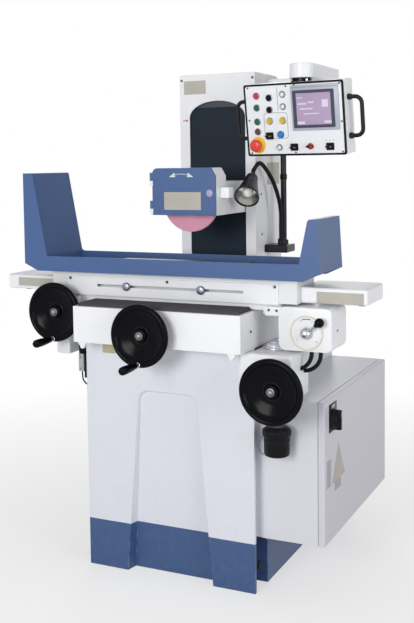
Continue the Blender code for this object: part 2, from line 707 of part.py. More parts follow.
# ---- wheel head ------------------------------------------------------------------------------------------
def make_head():
    """Head casting with its spindle, motor, lifting nut and screw."""
    origin = (0, COLUMN_FRONT, SPINDLE_Z)
    head = box("wheel_head", (-HEAD_HALF, HEAD_FRONT, HEAD_BOTTOM),
               (HEAD_HALF, HEAD_BACK, HEAD_TOP), origin)
    soften(head, 0.004, 2)
    nut = box("lift_nut", (-HEAD_HALF, HEAD_BACK - 0.02, HEAD_BOTTOM + 0.02),
              (SCREW_X + SCREW_R + 0.003, SCREW_Y + SCREW_R + 0.012, HEAD_TOP - 0.02))
    join(head, nut)
    middle = (HEAD_FRONT + HEAD_BACK) / 2
    spindle_way = bore("spindle_way", (0, middle, SPINDLE_Z), SPINDLE_R,
                       HEAD_BACK - HEAD_FRONT + 0.02)
    screw_way = bore("screw_way", (SCREW_X, SCREW_Y, SPINDLE_Z), SCREW_R, 0.3, "z")
    dress(cut(head, spindle_way, screw_way), WHITE)

    front = WHEEL_FRONT
    profile = [(0, 0.012), (WHEEL_BORE_R - 0.002, 0.012), (WHEEL_BORE_R - GAP, 0.010),
               (WHEEL_BORE_R - GAP, -WHEEL_WIDTH - GAP), (0.034, -WHEEL_WIDTH - GAP),
               (0.034, -WHEEL_WIDTH - 0.006), (0.026, -WHEEL_WIDTH - 0.008),
               (0.026, front - HEAD_FRONT - 0.001), (SPINDLE_R, front - HEAD_FRONT - 0.001),
               (SPINDLE_R, front - HEAD_BACK + 0.002), (0, front - HEAD_BACK + 0.002)]
    dress(turned("spindle", profile, (0, front, SPINDLE_Z), (0, -1, 0), 20), STEEL, 0.3, 1.0)

    edge = 0.0012
    ring = [(WHEEL_R - edge, 0), (WHEEL_R, -edge), (WHEEL_R, edge - WHEEL_WIDTH),
            (WHEEL_R - edge, -WHEEL_WIDTH), (WHEEL_BORE_R, -WHEEL_WIDTH), (WHEEL_BORE_R, 0),
            (WHEEL_R - edge, 0)]
    wheel = turned("grinding_wheel", ring, (0, front, SPINDLE_Z), (0, -1, 0), 36)
    dress(wheel, (0.80, 0.36, 0.47, 1.0), 0.85)

    motor = turned("spindle_motor", [(0, 0), (0.030, 0), (MOTOR_R - 0.006, -0.004),
                                     (MOTOR_R, -0.010), (MOTOR_R, HEAD_BACK - MOTOR_BACK + 0.012),
                                     (MOTOR_R - 0.010, HEAD_BACK - MOTOR_BACK),
                                     (0, HEAD_BACK - MOTOR_BACK)],
                   (0, HEAD_BACK + GAP, SPINDLE_Z), (0, -1, 0), 28)
    dress(motor, DARK, 0.5)

    foot, top = COLUMN_FOOT + GAP, COLUMN_TOP - SHEET - BACK_ROUND
    screw = turned("lift_screw", [(0, top), (0.008, top), (0.008, top - 0.03),
                                  (SCREW_R, top - 0.032), (SCREW_R, foot + 0.030),
                                  (0.022, foot + 0.022), (0.016, foot + 0.004), (0.009, foot),
                                  (0, foot)], (SCREW_X, SCREW_Y, 0), (0, 0, 1), 20)
    dress(screw, STEEL, 0.3, 1.0)


def guard_outline(inset):
    """Front view of the wheel guard: rounded at the left, chamfered at the right."""
    half, top = GUARD_HALF - inset, GUARD_TOP - inset
    radius = 0.018 - inset / 2
    low = GUARD_BOTTOM - (0.05 if inset else 0)
    return ([(-half, low), (half, low), (half, top - radius * 1.5), (half - radius * 0.9, top)]
            + arc((-half + radius, top - radius), radius, 90, 180, 4))


def make_wheel_guard():
    """Guard housing over the wheel, with a hinged front door."""
    back = HEAD_FRONT - GAP
    origin = (0, COLUMN_FRONT, SPINDLE_Z)
    guard = prism("wheel_guard", guard_outline(0), "y", GUARD_FRONT, back, origin)
    room = prism("guard_room", guard_outline(GUARD_WALL), "y", GUARD_FRONT - 0.02,
                 back - GUARD_WALL)
    hole = rod("guard_bore", (0, back, SPINDLE_Z), 0.036, 0.04, "y", 28)
    dress(cut(guard, room, hole), WHITE)

    high, low = GUARD_FRONT - GAP, GUARD_FRONT - GUARD_DOOR
    hinge = (-GUARD_HALF - GUARD_HINGE_R, (high + low) / 2, SPINDLE_Z)
    door = prism("wheel_guard_door", guard_outline(0), "y", low, high, hinge)
    for bottom, top in ((SPINDLE_Z + 0.0535, SPINDLE_Z + 0.0985),
                        (SPINDLE_Z - 0.0395, SPINDLE_Z + 0.0045)):
        name = f"hinge_leaf_{bottom:.3f}"
        leaf = box(name, (hinge[0] - GUARD_HINGE_R, low + 0.0005, bottom),
                   (-GUARD_HALF + 0.01, high - 0.0005, top))
        join(door, leaf)
    dress(door, BLUE)


# ---- saddle, table and splash guard ------------------------------------------------------------------------
def make_saddle():
    """Saddle casting: runs on the base's cross ways and carries the table's ways."""
    low = BASE_TOP + WAY_LIFT + GAP
    half = [(SADDLE_HALF, low), (SADDLE_HALF, HOUSING_TOP + 0.0035),
            (WING_STEP, HOUSING_TOP + 0.0035), (WING_STEP, FLANGE_BOTTOM),
            (WING_HALF, FLANGE_BOTTOM), (WING_HALF, SADDLE_TOP)]
    outline = half + [(-x, z) for x, z in reversed(half)]
    origin = (0, (SADDLE_FRONT + SADDLE_BACK) / 2, low)
    saddle = prism("saddle", outline, "y", SADDLE_FRONT, SADDLE_BACK, origin)
    x, _, z = CROSS_WHEEL
    length = SADDLE_BACK - SADDLE_FRONT + 0.05
    nut = bore("cross_nut", (x, (SADDLE_FRONT + SADDLE_BACK) / 2, z), CROSS_SCREW_R, length)
    middle = TABLE_FRONT + TABLE_DEPTH / 2
    trough = box("cylinder_trough", (-0.25, middle - 0.027, SADDLE_TOP - 0.060),
                 (0.25, middle + 0.027, SADDLE_TOP + 0.02))
    dress(cut(saddle, nut, trough), WHITE)
    cylinder = turned("hydraulic_cylinder", [(0, 0.24), (0.010, 0.24), (0.022, 0.236),
                                             (0.022, -0.236), (0.010, -0.24), (0, -0.24)],
                      (0, middle, SADDLE_TOP - 0.060 + GAP + 0.022), (1, 0, 0), 20)
    dress(cylinder, STEEL, 0.35, 1.0)


def make_table():
    """Ground table with one T-slot along it, its front panel, end covers and trip dogs."""
    back = TABLE_FRONT + TABLE_DEPTH
    middle = TABLE_FRONT + TABLE_DEPTH / 2
    origin = (0, middle, TABLE_BOTTOM)
    table = box("table", (-TABLE_HALF, TABLE_FRONT, TABLE_BOTTOM),
                (TABLE_HALF, back, TABLE_SHOULDER), origin)
    face = box("work_face", (-FACE_HALF, TABLE_FRONT + FACE_INSET, TABLE_SHOULDER - 0.01),
               (FACE_HALF, back - FACE_INSET, TABLE_FACE))
    join(table, face)
    neck_low = TABLE_FACE - SLOT_NECK_DEEP
    foot_low = neck_low - SLOT_FOOT_DEEP
    neck, foot = SLOT_NECK / 2, SLOT_FOOT / 2
    slot = prism("table_slot", [(middle - neck, TABLE_FACE + 0.01), (middle - neck, neck_low),
                                (middle - foot, neck_low), (middle - foot, foot_low),
                                (middle + foot, foot_low), (middle + foot, neck_low),
                                (middle + neck, neck_low), (middle + neck, TABLE_FACE + 0.01)],
                 "x", -FACE_HALF - 0.02, FACE_HALF + 0.02)
    groove = box("dog_groove", (-DOG_SLOT_HALF - 0.01, TABLE_FRONT - 0.02, DOG_Z - 0.010),
                 (DOG_SLOT_HALF + 0.01, TABLE_FRONT + 0.020, DOG_Z + 0.010))
    dress(cut(table, slot, groove), STEEL, 0.3, 1.0)

    rear, front = TABLE_FRONT - GAP, TABLE_FRONT - GAP - SHEET
    panel = box("table_front_panel", (-PANEL_HALF, front, PANEL_BOTTOM),
                (PANEL_HALF, rear, PANEL_TOP))
    window = box("dog_slot", (-DOG_SLOT_HALF, front - 0.02, DOG_Z - DOG_SLOT_HEIGHT / 2),
                 (DOG_SLOT_HALF, rear + 0.02, DOG_Z + DOG_SLOT_HEIGHT / 2))
    dress(cut(panel, window), WHITE)
    for name, x in (("trip_dog_left", DOG_LEFT), ("trip_dog_right", DOG_RIGHT)):
        stem = DOG_SLOT_HEIGHT / 2 - GAP
        foot = 0.009
        dog = turned(name, [(0, 0.011), (DOG_RADIUS - 0.002, 0.011), (DOG_RADIUS, 0.009),
                            (DOG_RADIUS, GAP), (stem, GAP), (stem, -0.010), (foot, -0.010),
                            (foot, -0.016), (0, -0.016)], (x, front, DOG_Z), (0, -1, 0), 20)
        dress(dog, STEEL, 0.35, 1.0)
    make_end_cover("end_cover_left", -1)
    make_end_cover("end_cover_right", 1)


def make_end_cover(name, side):
    """Sheet cover over one end of the table's ways, open underneath and towards the table."""
    inner, outer = TABLE_HALF + GAP, END_HALF
    near, far = sorted((side * (inner - 0.02), side * outer))
    cover = box(name, (near, END_FRONT, END_BOTTOM), (far, END_BACK, END_TOP))
    soften(cover, 0.008, 3)
    rest_near, rest_far = sorted((side * (inner - 0.05), side * inner))
    rest = box(f"{name}_rest", (rest_near, END_FRONT - 0.01, END_BOTTOM - 0.01),
               (rest_far, END_BACK + 0.01, END_TOP + 0.01))
    room_near, room_far = sorted((side * (inner - 0.03), side * (outer - SHEET)))
    room = box(f"{name}_room", (room_near, END_FRONT + SHEET, END_BOTTOM - 0.02),
               (room_far, END_BACK - SHEET, END_TOP - SHEET))
    return dress(cut(cover, rest, room), WHITE)


def make_splash_guard():
    """Bent tray round the table: low walls front and back, a tall end left, a lower one right."""
    half = TRAY_HALF
    left_in, right_in = -(TABLE_HALF - 0.003), TABLE_HALF + 0.020
    left_top, right_top = TABLE_HALF + 0.048, TABLE_HALF + 0.047
    outline = [(-half + TRAY_TAPER, TRAY_FLOOR), (half - TRAY_TAPER, TRAY_FLOOR),
               (half, TRAY_BOTTOM), (half - 0.009, TRAY_RIGHT_TOP),
               (right_top + 0.006, TRAY_RIGHT_TOP), (right_top, TRAY_RIGHT_TOP - 0.006),
               (right_in, TRAY_RIM), (left_in, TRAY_RIM), (-left_top, TRAY_LEFT_TOP - 0.004),
               (-left_top - 0.004, TRAY_LEFT_TOP), (-half, TRAY_LEFT_TOP), (-half, TRAY_BOTTOM)]
    origin = (0, TABLE_FRONT + TABLE_DEPTH / 2, TRAY_FLOOR)
    guard = prism("splash_guard", outline, "y", TRAY_FRONT, TRAY_BACK, origin)
    t = TRAY_SHEET
    floor = TRAY_FLOOR + t
    bowl = [(left_in + 0.004, floor), (right_in - 0.004, floor), (right_in + 0.0005, TRAY_RIM + 0.01),
            (right_in + 0.02, TRAY_LEFT_TOP + 0.05), (-left_top - 0.012, TRAY_LEFT_TOP + 0.05),
            (left_in - 0.0005, TRAY_RIM + 0.004)]
    room = prism("tray_room", bowl, "y", TRAY_FRONT + t, TRAY_BACK - t)
    left = [(-half + t, TRAY_FLOOR - 0.02), (left_in - t, TRAY_FLOOR - 0.02),
            (left_in - t, TRAY_RIM),
            (-left_top - 0.004 - t, TRAY_LEFT_TOP - t), (-half + t, TRAY_LEFT_TOP - t)]
    right = [(half - t, TRAY_FLOOR - 0.02), (half - t, TRAY_BOTTOM),
             (half - t - 0.009, TRAY_RIGHT_TOP - t),
             (right_top + t, TRAY_RIGHT_TOP - t), (right_in + t, TRAY_RIM),
             (right_in + t, TRAY_FLOOR - 0.02)]
    cut(guard, room, prism("tray_end_left", left, "y", TRAY_FRONT + t, TRAY_BACK - t),
        prism("tray_end_right", right, "y", TRAY_FRONT + t, TRAY_BACK - t))
    back = TABLE_FRONT + TABLE_DEPTH
    cut(guard, box("face_window", (-FACE_HALF - RUNNING, TABLE_FRONT + FACE_INSET - RUNNING,
                               TABLE_SHOULDER - 0.016),
                   (FACE_HALF + RUNNING, back - FACE_INSET + RUNNING, TABLE_FACE + 0.010)))
    dress(guard, BLUE)


# ---- handwheels and levers ------------------------------------------------------------------------------
def make_handwheel(name, at, shaft, grip=True):
    """Dished handwheel on its shaft; the grip turns on a pin set in the rim."""
    r, inner = HANDWHEEL_R, HANDWHEEL_R - RIM_WIDTH
    profile = [(0, -0.008), (HUB_R - 0.002, -0.008), (HUB_R + 0.001, -0.024),
               (inner + 0.001, -0.006), (inner + 0.006, -0.0006), (r - 0.006, 0),
               (r, -0.008), (r - 0.003, -0.019), (r - 0.008, -RIM_DEEP),
               (inner, -RIM_DEEP + 0.001), (HUB_R + 0.002, -0.033), (HUB_R, -HUB_DEEP),
               (SHAFT_R, -HUB_DEEP), (SHAFT_R, -HUB_DEEP - shaft), (0, -HUB_DEEP - shaft)]
    wheel = turned(name, profile, at, (0, -1, 0), 28)
    x, y, z = at
    if grip:
        low = z - GRIP_RADIUS
        cut(wheel, bore(f"{name}_pin_hole", (x, y + 0.005, low), GRIP_PIN_R, 0.07, "y", 12))
        profile = [(0, GRIP_LENGTH), (0.008, GRIP_LENGTH), (0.0125, GRIP_LENGTH - 0.004),
                   (0.0135, GRIP_LENGTH - 0.020), (0.0095, 0.024), (0.0075, 0.022),
                   (0.0085, 0.003), (0.0085, 0.0008), (GRIP_PIN_R, 0.0008), (GRIP_PIN_R, -0.014),
                   (0, -0.014)]
        dress(turned(f"{name}_grip", profile, (x, y, low), (0, -1, 0), 12), BLACK, 0.25)
    return dress(wheel, BLACK, 0.2)


def make_handwheels():
    make_handwheel("table_handwheel", TABLE_WHEEL, 0.060)
    make_handwheel("cross_handwheel", CROSS_WHEEL, HOUSING_FRONT - CROSS_WHEEL[1] - HUB_DEEP + 0.020)
    make_handwheel("lift_handwheel", LIFT_WHEEL, LIFT_BOX_FRONT - LIFT_WHEEL[1] - HUB_DEEP + 0.070,
                   False)
    x, y, z = CROSS_WHEEL
    start = HOUSING_FRONT + 0.020 + GAP
    length = SADDLE_BACK + 0.100 - start
    screw = turned("cross_screw", [(0, 0), (CROSS_SCREW_R - 0.001, 0), (CROSS_SCREW_R, -0.001),
                                   (CROSS_SCREW_R, -length + 0.001), (CROSS_SCREW_R - 0.001, -length),
                                   (0, -length)], (x, start, z), (0, -1, 0), 20)
    dress(screw, STEEL, 0.3, 1.0)

    x, _, z = TABLE_WHEEL
    gearbox = box("table_gearbox", (x - GEARBOX_HALF, GEARBOX_FRONT, GEARBOX_BOTTOM),
                  (x + GEARBOX_HALF, GEARBOX_FRONT + GEARBOX_DEEP, GEARBOX_TOP))
    soften(gearbox, 0.005, 2)
    lug = box("gearbox_lug", (x + GEARBOX_HALF - 0.01, GEARBOX_FRONT + 0.006, FLANGE_BOTTOM),
              (-FLANGE_LEFT, SADDLE_FRONT - GAP, GEARBOX_TOP - 0.002))
    join(gearbox, lug)
    under = box("saddle_rest", (-WING_HALF - 0.002, SADDLE_FRONT - GAP, FLANGE_BOTTOM - GAP),
                (x + GEARBOX_HALF + 0.02, 0.1, 1.0))
    dress(cut(gearbox, under, bore("pinion_bore", (x, GEARBOX_FRONT, z), SHAFT_R, 0.12)),
          WHITE)


def make_lever_box():
    """Reversing valve box under the table's right end, with its ball lever."""
    box_left, box_right = LEVER_BOX_LEFT, LEVER_BOX_RIGHT
    item = box("lever_box", (box_left, LEVER_BOX_FRONT, LEVER_BOX_BOTTOM),
               (box_right, LEVER_BOX_BACK, LEVER_BOX_TOP))
    soften(item, 0.007, 3)
    flange = box("lever_flange", (FLANGE_LEFT, LEVER_BOX_FRONT + 0.002, FLANGE_BOTTOM),
                 (box_left + 0.02, LEVER_BOX_FRONT + 0.002 + FLANGE_DEEP, LEVER_BOX_TOP - 0.002))
    web = box("lever_web", (FLANGE_LEFT + 0.01, LEVER_BOX_FRONT + 0.004, FLANGE_BOTTOM + 0.002),
              (WING_HALF + 0.01, SADDLE_FRONT - GAP, LEVER_BOX_TOP - 0.004))
    join(item, flange, web)
    dress(cut(item, bore("lever_bore", (LEVER_X, LEVER_BOX_FRONT, LEVER_Z), 0.009, 0.08)), WHITE)

    out = 0.026
    hub = turned("reversing_lever", [(0, out), (LEVER_HUB_R - 0.005, out),
                                     (LEVER_HUB_R, out - 0.006), (LEVER_HUB_R, 0.003),
                                     (LEVER_HUB_R, GAP), (0.009, GAP), (0.009, -0.030),
                                     (0, -0.030)], (LEVER_X, LEVER_BOX_FRONT, LEVER_Z),
                 (0, -1, 0), 24)
    bx, bz = BALL_PLACE
    y = LEVER_BOX_FRONT - 0.014
    arm = pipe("lever_rod", [(LEVER_X + 0.004, y, LEVER_Z + 0.003), (bx, y - 0.010, bz)], 0.0045)
    shape = bmesh.new()
    bmesh.ops.create_uvsphere(shape, u_segments=14, v_segments=8, radius=BALL_R)
    mesh = bpy.data.meshes.new("lever_ball")
    shape.to_mesh(mesh)
    shape.free()
    ball = put("lever_ball", mesh, (bx, y - 0.010, bz))
    dress(join(hub, arm, ball), STEEL, 0.3, 1.0)


# ---- lamp, conduit, arm and pendant -----------------------------------------------------------------------
def make_lamp():
    """Lamp bracket on the column's side with the pendant's cable conduit, and a gooseneck lamp."""
    left = COLUMN_HALF + GAP
    stand = box("lamp_stand", (left, POLE_Y - 0.055, STAND_Z), (POLE_X + 0.032, POLE_Y + 0.030,
                                                               STAND_TOP))
    soften(stand, 0.004, 2)
    pole = rod("conduit", (POLE_X, POLE_Y, (STAND_TOP + BEAM_BOTTOM) / 2 - 0.005), POLE_R,
               BEAM_BOTTOM - STAND_TOP + 0.010 - 2 * GAP, "z", 16)
    dress(join(stand, pole), BLACK, 0.4)

    x, y = NECK_ROOT
    tail, axis = Vector(LAMP_TAIL), Vector(LAMP_AXIS).normalized()
    start = STAND_TOP + GAP
    bends = ((0.0, -0.002, 0.122), (-0.0055, -0.015, 0.177), (-0.0175, -0.045, 0.239),
             (-0.0365, -0.098, 0.291))
    points = smooth_path([(x, y, start), (x, y, start + 0.06)]
                         + [(x + a, y + b, STAND_TOP + c) for a, b, c in bends]
                         + [tail - axis * 0.034], 3)
    points.append(tail - axis * (LAMP_BALL_R + GAP))
    dress(pipe("gooseneck", points, NECK_R, (x, y, start), 1), BLACK, 0.5)

    ball, front, rim = LAMP_BALL_R, LAMP_LENGTH, LAMP_R
    profile = [(0, 0.062), (0.022, 0.068), (rim - 0.007, front - 0.006), (rim - 0.005, front),
               (rim, front), (rim, front - 0.008), (0.028, 0.062), (0.024, 0.045),
               (0.020, 0.013), (0.012, 0.006)]
    profile += [(ball * math.cos(a), ball * math.sin(a))
                for a in (math.radians(-22.5 * i) for i in range(5))]
    profile[-1] = (0, -ball)
    item = turned("lamp_head", profile, tail, axis, 18)
    dress(item, BLACK, 0.5)


def make_arm():
    """Beam from the column, and the arm that turns on its end."""
    left, right = COLUMN_HALF + GAP, ARM_X - ARM_HALF - 0.008
    low, high = BEAM_Y - BEAM_HALF, BEAM_Y + BEAM_HALF
    beam = box("support_beam", (left, low, BEAM_BOTTOM), (right, high, BEAM_TOP))
    end = [(left + 0.01, low + 0.001)] + arc((ARM_X, BEAM_Y), BEAM_HALF - 0.001, -90, 90, 8)
    end.append((left + 0.01, high - 0.001))
    lap = prism("beam_lap", end, "z", BEAM_BOTTOM + 0.001, ARM_BOTTOM - GAP)
    dress(join(beam, lap), WHITE)

    outline = arc((ARM_X, ARM_FRONT), ARM_HALF, 180, 360, 10)
    outline += arc((ARM_X, BEAM_Y), ARM_HALF, 0, 180, 10)
    arm = prism("pendant_arm", outline, "z", ARM_BOTTOM, ARM_TOP, (ARM_X, BEAM_Y, ARM_BOTTOM))
    dress(soften(arm, 0.004, 2, 60), WHITE)


def make_pendant():
    """Control pendant under the arm, with a handle at each side and its controls."""
    pivot = bpy.data.objects.new("pendant_pivot", None)
    pivot.parent = MACHINE
    pivot.location = (ARM_X, ARM_FRONT, ARM_BOTTOM)
    PARTS.objects.link(pivot)
    frame = bpy.data.objects.new("pendant_frame", None)
    frame.parent = pivot
    frame.location = Vector(PENDANT_AT) - pivot.location
    frame.rotation_euler = (PENDANT_LEAN, 0, PENDANT_TURN)
    PARTS.objects.link(frame)
    bpy.context.view_layer.update()
    place = frame.matrix_world.copy()
    half, high, deep = PENDANT_WIDTH / 2, PENDANT_HEIGHT / 2, PENDANT_DEPTH

    case = box("pendant_case", (-half, 0, -high), (half, deep, high), (0, 0, 0))
    case.parent = frame
    soften(case, 0.004, 2)
    for side, name in ((-1, "left"), (1, "right")):
        x, y, z = side * (half - 0.003), deep * 0.45, high * 0.52
        out = side * (half + HANDLE_OUT)
        route = smooth_corners([(x, y, z), (out, y, z), (out, y, -z), (x, y, -z)], 0.014)
        handle = pipe(f"handle_{name}", route, HANDLE_R, (0, 0, 0), 1)
        handle.parent = frame
        join(case, handle)
    neck_low = (place @ Vector((0, deep / 2, high))).z - 0.012
    neck = rod("pendant_neck", (ARM_X, ARM_FRONT, (neck_low + ARM_BOTTOM - GAP) / 2), 0.034,
               ARM_BOTTOM - GAP - neck_low, "z", 24)
    join(case, neck)
    for name, (x, z) in list(PUSH_BUTTONS.items()) + list(SELECTORS.items()) + [("stop", STOP_PLACE)]:
        hole = bore(f"{name}_hole", (0, 0, 0), BUTTON_STEM_R, 2 * BUTTON_STEM + 0.012, "y", 10)
        hole.parent = frame
        hole.location = (x, 0, z)
        cut(case, hole)
    dress(case, WHITE)

    for name, (x, z) in PUSH_BUTTONS.items():
        profile = [(0, BUTTON_PROUD), (BUTTON_R - 0.002, BUTTON_PROUD),
                   (BUTTON_R, BUTTON_PROUD - 0.002), (BUTTON_R, 0.0045), (BUTTON_STEM_R, 0.0045),
                   (BUTTON_STEM_R, -0.009), (0, -0.009)]
        make_control(name, x, z, profile, frame)
    for name, (x, z) in SELECTORS.items():
        profile = [(0, 0.006), (BUTTON_R, 0.006), (BUTTON_R, GAP), (BUTTON_STEM_R, GAP),
                   (BUTTON_STEM_R, -BUTTON_STEM), (0, -BUTTON_STEM)]
        knob = make_control(name, x, z, profile, frame)
        bar = box(f"{name}_bar", (-BUTTON_R - 0.001, -0.017, -0.0035),
                  (BUTTON_R + 0.001, -0.004, 0.0035), (0, 0, 0))
        bar.parent = frame
        bar.location = (x, 0, z)
        join(knob, bar)
    profile = [(0, 0.030), (STOP_R - 0.006, 0.028), (STOP_R, 0.022), (STOP_R, 0.017),
               (0.012, 0.013), (0.012, 0.008), (BUTTON_STEM_R, 0.0075), (BUTTON_STEM_R, -0.007),
               (0, -0.007)]
    make_control("emergency_stop", *STOP_PLACE, profile, frame, 14)


def make_control(name, x, z, profile, frame, steps=10):
    """One turned control on the panel, facing out of it."""
    item = turned(name, profile, (x, 0, z), (0, -1, 0), steps)
    item.parent = frame
    return dress(item, DARK, 0.4)


def smooth_corners(points, radius, count=3):
    """The points of a bent tube: straight runs with round corners."""
    path = [Vector(points[0])]
    for before, corner, after in zip(points, points[1:], points[2:]):
        corner = Vector(corner)
        a = corner + (Vector(before) - corner).normalized() * radius
        b = corner + (Vector(after) - corner).normalized() * radius
        for i in range(count + 1):
            t = i / count
            path.append(a * (1 - t) ** 2 + corner * 2 * t * (1 - t) + b * t * t)
    path.append(Vector(points[-1]))
    return path


make_base()
make_front_housing()
make_way_bellows()
make_lift_gearbox()
make_cabinet()
make_filler()
make_column()
make_way_plates()
make_head()
make_wheel_guard()
make_saddle()
make_table()
make_splash_guard()
make_handwheels()
make_lever_box()
make_lamp()
make_arm()
make_pendant()
bpy.context.view_layer.update()
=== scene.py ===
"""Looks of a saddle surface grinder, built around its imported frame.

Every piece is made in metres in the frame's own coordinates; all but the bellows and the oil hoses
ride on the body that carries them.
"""
import json
import logging
import math
from dataclasses import dataclass, field
from enum import Enum
from typing import Any, Sequence

import bmesh
import bpy
from mathutils import Matrix, Vector


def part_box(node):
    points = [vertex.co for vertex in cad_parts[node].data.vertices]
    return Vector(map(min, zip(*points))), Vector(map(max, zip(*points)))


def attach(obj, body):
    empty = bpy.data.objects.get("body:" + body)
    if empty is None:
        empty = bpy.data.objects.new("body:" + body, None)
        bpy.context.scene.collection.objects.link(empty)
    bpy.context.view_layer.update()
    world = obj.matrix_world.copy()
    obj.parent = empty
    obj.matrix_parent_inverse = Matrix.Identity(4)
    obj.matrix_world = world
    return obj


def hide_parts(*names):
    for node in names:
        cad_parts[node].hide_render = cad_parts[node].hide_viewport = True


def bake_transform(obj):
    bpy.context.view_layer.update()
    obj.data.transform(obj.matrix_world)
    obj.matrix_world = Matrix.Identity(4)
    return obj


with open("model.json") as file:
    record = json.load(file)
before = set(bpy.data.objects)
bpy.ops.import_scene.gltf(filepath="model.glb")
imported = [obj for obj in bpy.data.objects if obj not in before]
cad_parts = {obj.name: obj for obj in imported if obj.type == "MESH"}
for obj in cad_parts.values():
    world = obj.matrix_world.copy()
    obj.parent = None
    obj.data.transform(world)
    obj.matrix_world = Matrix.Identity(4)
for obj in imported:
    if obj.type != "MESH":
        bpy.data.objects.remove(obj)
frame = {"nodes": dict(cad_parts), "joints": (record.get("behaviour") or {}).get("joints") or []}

logging.basicConfig(level=logging.INFO, format="%(message)s")
LOG = logging.getLogger("grinder")
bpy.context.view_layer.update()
JOINTS: dict[str, dict] = {joint["name"]: joint for joint in frame["joints"]}

Colour = tuple[float, float, float]
Point = tuple[float, float, float]
Profile = Sequence[tuple[float, float]]


def pivot(joint: str) -> Vector:
    """The point that a joint of the frame turns about."""
    return Vector(JOINTS[joint]["pos_m"])


# ---- shader graphs ------------------------------------------------------------------------------
class Wire:
    """An output socket whose arithmetic adds Math nodes to its graph."""

    def __init__(self, graph: "Graph", socket: bpy.types.NodeSocket) -> None:
        """Keeps the socket with the graph that it belongs to."""
        self.graph = graph
        self.socket = socket

    def _math(self, operation: str, a: Any, b: Any) -> "Wire":
        """One Math node on two values or wires."""
        return self.graph.node("ShaderNodeMath", {"operation": operation}, {0: a, 1: b})

    def __add__(self, other: Any) -> "Wire":
        """self + other."""
        return self._math("ADD", self, other)

    def __radd__(self, other: Any) -> "Wire":
        """other + self."""
        return self._math("ADD", other, self)

    def __sub__(self, other: Any) -> "Wire":
        """self - other."""
        return self._math("SUBTRACT", self, other)

    def __rsub__(self, other: Any) -> "Wire":
        """other - self."""
        return self._math("SUBTRACT", other, self)

    def __mul__(self, other: Any) -> "Wire":
        """self * other."""
        return self._math("MULTIPLY", self, other)

    def __rmul__(self, other: Any) -> "Wire":
        """other * self."""
        return self._math("MULTIPLY", other, self)

    def __lt__(self, other: Any) -> "Wire":
        """One where self is below other."""
        return self._math("LESS_THAN", self, other)

    def clamped(self) -> "Wire":
        """The value held between 0 and 1."""
        return self.graph.node("ShaderNodeClamp", {}, {"Value": self})


